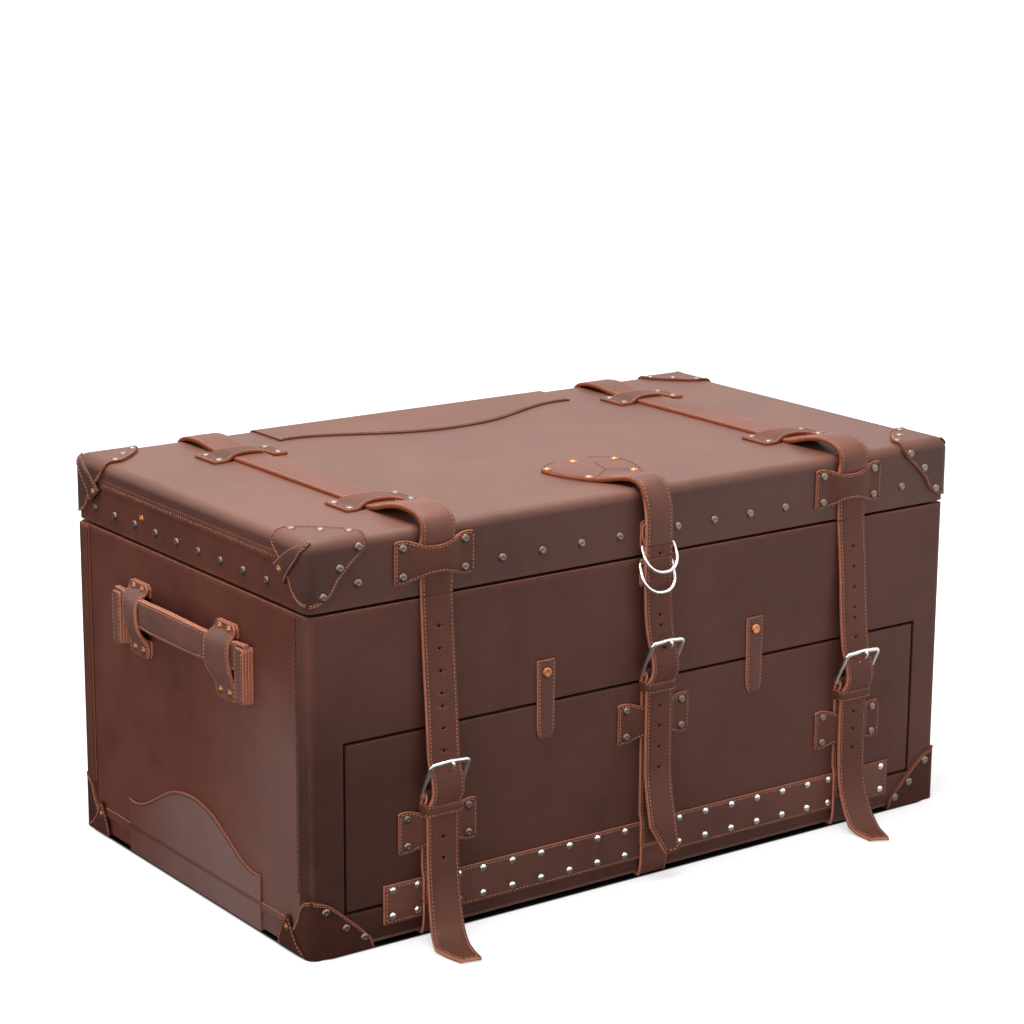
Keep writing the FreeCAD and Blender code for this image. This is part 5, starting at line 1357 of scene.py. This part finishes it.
class TRUNK_OT_loops(bpy.types.Operator):
    """Bone-shaped loops over the straps, stitched all round."""
    bl_idname = "trunk.loops"
    bl_label = "Bone-shaped loops"
    bl_options = {"REGISTER", "UNDO"}

    def execute(self, context):
        lid, door = Piece(), Piece()
        for x, z_x, reach, back_reach in ((-306.0, -303.7, 48.5, 51.5), (305.0, 301.0, 52.5, 52.5)):
            self.bone(lid, (z_x, -HALF_D, 433.0), X, Z, 44)
            self.bone(lid, (x, -144.0, LID_TOP), X, Y, 44, reach)
            self.bone(lid, (x, 145.0, LID_TOP), X, Y, 44, back_reach)
        for run in RUNS:
            self.bone(door, (run.x, -HALF_D, run.loop_z), X, Z, run.width)
        lid.finish("lid_loops_sewn", ["loop", "thread"], "lid", ["lid_loops"], "loop_leather")
        door.finish("door_loops_sewn", ["loop", "thread"], "drop_front", ["door_loops"], "loop_leather")
        return {"FINISHED"}

    def bone(self, piece, point, along, across, width, reach=BONE_REACH):
        """One loop centred on a point of the face that it lies on."""
        out = np.cross(along, across)
        half, mid = width / 2, 1.5
        arch = [(half - 12, 7.3), (half - 2, 6.4), (half + 3.5, 4.6), (half + 9, 2.2), (half + 14, mid),
                (reach, mid)]
        path = [(-u, proud) for u, proud in arch[::-1]] + [(0.0, 7.6)] + arch
        points = [np.array(point) + along * u + out * proud for u, proud in smooth(path, 2)]
        route = Route(points, across, 1.6, PLATE_ROLL)
        tall = bone_half((route.points - np.array(point)) @ along, reach)
        inset, out_of_mid, pitch = 2.6, 1.3, 4.4
        piece.band(route, tall, tall, 3.0, groove=inset, crown=0.2)
        for side, end in ((inset - tall, inset), (tall - inset, route.length - inset)):
            piece.sew(route, side, out_of_mid, pitch=pitch)
            path, outward = route.at([end, end], np.array([-20.0, 20.0]), 1.5)
            piece.seam(path, outward, pitch=pitch)


class TRUNK_OT_rings(bpy.types.Operator):
    """D-rings and the folded chapes that hold them."""
    bl_idname = "trunk.rings"
    bl_label = "Rings"
    bl_options = {"REGISTER", "UNDO"}

    def execute(self, context):
        for name, bar_z, up, body, bow_reach, slip in (
                ("upper", 404.0, 1, "lid", 33.5, 0.5), ("lower", 384.0, -1, "trunk_case", 37.0, -4.0)):
            centre = np.array([3.0 + slip / 2, -HALF_D - RING_BAR, bar_z])
            lean = math.radians(27.0)
            side = X * 23.2
            bow = np.array([0, -math.sin(lean), -math.cos(lean)]) * bow_reach + X * slip
            corners = [(centre - side, 3.0), (centre + side, 3.0), (centre + side + bow, 21.0),
                       (centre - side + bow, 21.0)]
            ring = Piece()
            ring.wire(rounded(corners, True, 14), 2.2, True, face=np.cross(X, unit(bow)), sides=14)
            ring.finish("d_ring_%s_drawn" % name, ["nickel"], "d_ring_" + name, ["d_ring_" + name],
                        "bright_nickel")
            reach = 2.2 + 0.3 + 1.3
            low, over = RING_BAR - reach, RING_BAR - reach + 2.9
            path = [(low, bar_z + up * 30), (low, bar_z), *half_turn(RING_BAR, bar_z, reach, -up)[1:-1],
                    (RING_BAR + reach, bar_z), (RING_BAR + reach, bar_z + up * 1.5), (over, bar_z + up * 12),
                    (over, bar_z + up * 28)]
            chape = Piece()
            route = Route([(1.5, -HALF_D - p, z) for p, z in path], X * up, 2.0, FOLD_ROLL)
            half = 20.0 - drawn_in(route.from_ends, 6.0)
            chape.band(route, half, half, 2.6, groove=2.4, crown=0.2)
            chape.sew_edges(route, 20.0, 2.8, 1.15, start=route.length / 2 + 12)
            chape.finish("ring_chape_%s_folded" % name, ["strap", "thread"], body,
                         ["ring_chape_" + name], "strap_leather")
        return {"FINISHED"}


class TRUNK_OT_hinge_band(bpy.types.Operator):
    """Studded hinge band and the press-stud tabs."""
    bl_idname = "trunk.hinge_band"
    bl_label = "Hinge band and tabs"
    bl_options = {"REGISTER", "UNDO"}

    def execute(self, context):
        left, right = (millimetres("hinge_band_lower")[i].x for i in (0, 1))
        low, high = millimetres("hinge_band_lower")[0].z, millimetres("hinge_band_upper")[1].z
        y, middle, reach = -HALF_D - 1.5, (left + right) / 2, (right - left) / 2
        band = Piece()
        route = Route([(middle, y, low), (middle, y, high)], -X, 2.5, PLATE_ROLL)
        band.band(route, reach, reach, 3.0, groove=0, crown=0.0)
        face = y - 1.5
        inset = size("inset")
        left, right, low, high = left + inset, right - inset, low + inset, high - inset
        for start, stop in (((left, low), (right, low)), ((left, high), (right, high)),
                            ((left, low), (left, high)), ((right, low), (right, high))):
            band.seam([(start[0], face, start[1]), (stop[0], face, stop[1])], -Y)
        made = band.finish("hinge_band_sewn", ["strap", "thread"], None,
                           ["hinge_band_lower", "hinge_band_upper"], "loop_leather")
        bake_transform(made)
        tabs = Piece()
        for x in (-151.5, 158.0):
            route = Route([(x, y, 291.0), (x, y, 198.0)], X, 2.0, PLATE_ROLL)
            half = np.interp(route.to_end, [0, 1, 4, 9, 14, 40, 98], [7.2, 8.0, 9.6, 11.2, 11.7, 11.9, 12.4])
            half = half - drawn_in(route.along, 2.5)
            tabs.band(route, half, half, 3.0, groove=2.6, crown=0.3)
            tabs.sew_edges(route, half, 2.6, 1.3, start=3.0, stop=4.0, pitch=4.4)
        tabs.finish("door_tabs_sewn", ["strap", "thread"], "drop_front", ["door_tabs"], "strap_leather")
        return {"FINISHED"}


class TRUNK_OT_handles(bpy.types.Operator):
    """Slip handles with grips of two sewn layers, four-layer stop blocks and riveted loops."""
    bl_idname = "trunk.handles"
    bl_label = "Handles"
    bl_options = {"REGISTER", "UNDO"}

    def execute(self, context):
        loops = Piece()
        for side, sign in (("left", -1), ("right", 1)):
            self.grip(side, sign)
            for reach in (-101.0, 101.0):
                self.loop(loops, sign, HANDLE_Y + reach, np.sign(reach))
        loops.finish("handle_loops_sewn", ["handle", "thread"], "trunk_case", ["handle_loops"],
                     "handle_leather")
        return {"FINISHED"}

    def loop(self, loops, sign, y, far):
        """Loop over the grip, on two backing plates; the grip pulls its inner edge outwards."""
        profile = [(258, 5.5), (270, 5.5), (276, 6.5), (284, 11), (294, 15.5), (306, 18.0), (320, 18.7),
                   (329, 17), (334, 12), (337.5, 6.5), (341, 5.5), (348, 5.5)]
        path = smooth(profile, 2)
        points = [(sign * (HALF_W + q), y, z) for z, q in path]
        lean = 0.16 * np.clip((path[:, 1] - 6.0) / 10, 0, 1)
        across = [Y * -sign + X * far * bend for bend in lean]
        route = Route(points, across, 1.8, PLATE_ROLL)
        half = 22.0 - chamfer(route.from_ends, 5.0)
        loops.band(route, half, half, 3.5, groove=2.8, crown=0.2)
        loops.sew_edges(route, 22.0, 2.8, 1.5, start=6, stop=6, pitch=4.6)
        x = sign * (HALF_W + 1.8)
        for low, high in ((258, 279), (332, 348)):
            plate = Route([(x, y, low), (x, y, high)], Y * -sign, 2.0, PLATE_ROLL)
            half = 22.0 - chamfer(plate.along if low < 300 else plate.to_end, 5.0)
            loops.band(plate, half, half, 3.6, groove=0, crown=0.0)

    def grip(self, side, sign):
        """One handle: the arched grip and the stop blocks at its ends."""
        piece = Piece()
        stations = [(-152, 8.0), (-126, 7.5), (-104, 10.0), (-84, 14.0), (-62, 18.5), (-34, 23), (0, 25)]
        stations += [(-y, q) for y, q in stations[-2::-1]]
        for layer in (-1.6, 1.6):
            points = [(sign * (HALF_W + q + layer), HANDLE_Y + y, 315 + 6 * math.cos(y * math.pi / 220) ** 2)
                      for y, q in smooth(stations)]
            route = Route(points, Z * sign, 3.0, PLATE_ROLL)
            reach = np.abs(route.points[:, 1] - HANDLE_Y)
            half = np.interp(reach, [0, 40, 80, 152], [18.0, 17.6, 16.8, 16.2])
            piece.band(route, half, half, 3.2, groove=2.8, crown=0.5 if layer > 0 else 0.0)
        piece.sew_edges(route, half, 2.8, 1.6, start=16, stop=16, pitch=4.8)
        for end in (-143.0, 143.0):
            for layer, shrink in ((2.25, 0.0), (5.75, 0.4), (9.25, 0.8), (12.75, 1.2)):
                x = sign * (HALF_W + layer)
                points = [(x, HANDLE_Y + end, z) for z in (264.0 + shrink, 330.0 - shrink)]
                route = Route(points, Y * -sign, 3.0, PLATE_ROLL + (3.0, -3.0))
                half = 10.4 - shrink - chamfer(route.from_ends, 3.0)
                piece.band(route, half, half, 3.5, groove=2.4, crown=0.2)
            piece.sew_edges(route, 9.2, 2.6, 1.6, pitch=4.6)
        piece.finish("handle_%s_sewn" % side, ["handle", "thread"], "handle_" + side,
                     ["handle_" + side], "handle_leather")


class TRUNK_OT_fasteners(bpy.types.Operator):
    """Rivets, copper rivets, polished studs and press-stud caps."""
    bl_idname = "trunk.fasteners"
    bl_label = "Rivets and studs"
    bl_options = {"REGISTER", "UNDO"}

    def execute(self, context):
        for node, kind, look, body in (
                ("lid_rivets", "iron", "iron", "lid"),
                ("base_rivets", "iron", "iron", "trunk_case"),
                ("door_rivets", "iron", "iron", "drop_front"),
                ("lid_copper_rivets", "copper", "copper", "lid"),
                ("base_copper_rivets", "copper", "copper", "trunk_case"),
                ("press_stud_caps", "press", "copper", "drop_front"),
                ("studs_lower", "stud", "nickel", "trunk_case"),
                ("studs_upper", "stud", "nickel", "drop_front")):
            piece = Piece()
            for base, outward, radius, rise in islands(node):
                piece.lathe(self.seat(node, base), outward, head_profile(kind, radius, rise))
            slot = {"iron": "antique_rivet", "copper": "copper", "nickel": "bright_nickel"}[look]
            piece.finish(node + "_turned", [look], body, [node], slot, sharp=50)
        return {"FINISHED"}

    def seat(self, node, base):
        """Place of a head on the full leather, which is a little off its place on the plain part."""
        side, deep = np.sign(base[:2])
        on_end, height = abs(base[0]) > HALF_W - 2, base[2]
        shift = (0, 0, 0)
        if node == "lid_copper_rivets" and height > LID_TOP:
            shift = (-5, -2.5, 0.5)
        elif node == "lid_copper_rivets" and abs(base[1]) > 200:
            shift = (side * 1.8, -deep * 3.5, -4.4)
        elif node == "base_copper_rivets" and on_end:
            shift = (side * 1.6, -deep * 15, 0) if height < 100 else (side * 3.7, 0, 0)
        elif node == "base_rivets" and height < 20:
            shift = (-side * 6.5, 0, 0)
        elif node == "lid_rivets" and deep < 0 and abs(base[0] - 305) < 45 and abs(height - 433) < 18:
            shift = (-4, 0, 0)
        return base + np.array(shift)


class TRUNK_OT_stage(bpy.types.Operator):
    """Pale floor, soft studio light and the camera."""
    bl_idname = "trunk.stage"
    bl_label = "Floor, light and camera"
    bl_options = {"REGISTER", "UNDO"}

    def execute(self, context):
        self.floor()
        self.light()
        self.camera()
        return {"FINISHED"}

    def floor(self):
        """Pale floor with a painted dark contact shadow; for glossy rays it glows as a painted reflection,
        which polished metal mirrors darker at the left.
        """
        reach, level = 60.0, -0.0005
        mesh = bpy.data.meshes.new("floor")
        mesh.from_pydata([(x * reach, y * reach, level) for x, y in ((-1, -1), (1, -1), (1, 1), (-1, 1))],
                         [], [(0, 1, 2, 3)])
        floor = bpy.data.objects.new("floor", mesh)
        bpy.context.scene.collection.objects.link(floor)
        finish = Finish("pale_floor")
        pale = colour(206, 206, 206)
        finish.dull(finish.shader, pale)
        side, depth, _ = finish.axes()
        distance = (side * side + depth * depth).root()
        # Painted contact shadow: for camera rays the floor turns black within a few millimetres of the
        # trunk's foot.
        contact = proud_of(finish, (-(HALF_W + 2) * MM, -(HALF_D + 4) * MM, -1.0),
                           ((HALF_W - 2) * MM, HALF_D * MM, 1.0), 0.03)
        outside_painted_shadow = contact.rise(-0.001, 0.004)
        glow = finish.blend(distance.rise(0.6, 1.3), (0.55,) * 3, (1.0,) * 3)
        shown = finish.node("ShaderNodeBsdfPrincipled")
        finish.dull(shown.socket.node, finish.blend(outside_painted_shadow, (0.01,) * 3, pale),
                    finish.blend(outside_painted_shadow, (0.0,) * 3, glow))
        # Painted reflection: for glossy rays the floor glows, dim at the left and bright at the right, so
        # reflections in the trunk are darker at the left.
        painted_reflection = finish.node("ShaderNodeBsdfPrincipled")
        finish.dull(painted_reflection.socket.node, (0.0,) * 3,
                    finish.blend(side.rise(-0.1, 1.3), (0.1,) * 3, (1.15,) * 3))
        mix = Value(finish, finish.shader.outputs[0])
        for ray, other in (("Is Glossy Ray", painted_reflection), ("Is Camera Ray", shown)):
            share = finish.node("ShaderNodeLightPath", output=ray)
            mix = finish.node("ShaderNodeMixShader", None, {0: share, 1: mix, 2: other})
        finish.feed(finish.nodes["Material Output"].inputs["Surface"], mix)
        mesh.materials.append(finish.material)

    def light(self):
        """White surround that lights softly, and three lamps."""
        world = bpy.data.worlds.new("studio")
        bpy.context.scene.world = world
        world.use_nodes = True
        world.node_tree.nodes.clear()
        tree = Nodes(world.node_tree)
        camera, glossy = (tree.node("ShaderNodeLightPath", output=ray)
                          for ray in ("Is Camera Ray", "Is Glossy Ray"))
        fill, shown = (tree.node("ShaderNodeBackground", None, {"Color": (1.0,) * 3, "Strength": strength})
                       for strength in (0.36, 1.0))
        mix = tree.node("ShaderNodeMixShader", None, {0: camera.most(glossy), 1: fill, 2: shown})
        tree.node("ShaderNodeOutputWorld", None, {"Surface": mix})
        for name, place, width, watts in (("top_light", (-0.3, 0.1, 2.8), 2.4, 104.0),
                                          ("left_light", (-2.9, -0.9, 1.5), 1.8, 18.0),
                                          ("front_light", (2.3, -2.7, 1.7), 2.0, 12.0)):
            lamp = bpy.data.lights.new(name, "AREA")
            lamp.shape, lamp.size, lamp.energy = "DISK", width, watts
            made = bpy.data.objects.new(name, lamp)
            made.location = place
            aim = Vector((0, 0, 0.25)) - Vector(place)
            made.rotation_euler = aim.to_track_quat("-Z", "Y").to_euler()
            bpy.context.scene.collection.objects.link(made)

    def camera(self):
        """Camera from its place, its turn, dip and roll, and a focal length of 2745.7 / 1024 widths."""
        lens = bpy.data.cameras.new("camera")
        lens.sensor_width, lens.lens = 36.0, 36.0 * 2745.7 / 1024
        lens.clip_end = 200.0
        camera = bpy.data.objects.new("camera", lens)
        turn, dip, roll = (math.radians(a) for a in (-35.713, 13.894, 0.330))
        ahead = np.array([-math.sin(turn) * math.cos(dip), math.cos(turn) * math.cos(dip), -math.sin(dip)])
        right = np.array([math.cos(turn), math.sin(turn), 0.0])
        up = np.cross(right, ahead)
        level = math.cos(roll) * right + math.sin(roll) * up
        tall = math.cos(roll) * up - math.sin(roll) * right
        camera.matrix_world = Matrix([*zip(level, tall, -ahead, (-1.9191, -2.6561, 1.1979)), (0, 0, 0, 1)])
        bpy.context.scene.collection.objects.link(camera)
        bpy.context.scene.camera = camera
        bpy.context.scene.view_settings.view_transform = "Standard"


OPERATORS = [TRUNK_OT_carcass, TRUNK_OT_hides, TRUNK_OT_corner_caps, TRUNK_OT_lid_straps,
             TRUNK_OT_centre_strap, TRUNK_OT_front_straps, TRUNK_OT_buckles, TRUNK_OT_lower_straps,
             TRUNK_OT_loops, TRUNK_OT_rings, TRUNK_OT_hinge_band, TRUNK_OT_handles,
             TRUNK_OT_fasteners, TRUNK_OT_stage]


class TRUNK_PT_panel(bpy.types.Panel):
    """Lists the trunk's pieces and settings in the sidebar."""
    bl_idname = "TRUNK_PT_panel"
    bl_label = "Leather travel trunk"
    bl_space_type = "VIEW_3D"
    bl_region_type = "UI"
    bl_category = "Trunk"

    def draw(self, context):
        for settings in (context.scene.trunk_colours, context.scene.trunk_sizes):
            for name in settings.__annotations__:
                self.layout.prop(settings, name)
        for operator in OPERATORS:
            self.layout.operator(operator.bl_idname)


CLASSES = [TrunkColours, TrunkSizes, *OPERATORS, TRUNK_PT_panel]


def register():
    for each in CLASSES:
        bpy.utils.register_class(each)
    bpy.types.Scene.trunk_colours = bpy.props.PointerProperty(type=TrunkColours)
    bpy.types.Scene.trunk_sizes = bpy.props.PointerProperty(type=TrunkSizes)


def unregister():
    del bpy.types.Scene.trunk_sizes
    del bpy.types.Scene.trunk_colours
    for each in reversed(CLASSES):
        bpy.utils.unregister_class(each)


def main():
    register()
    for operator in OPERATORS:
        group, name = operator.bl_idname.split(".")
        getattr(getattr(bpy.ops, group), name)()


if __name__ == "__main__":
    main()
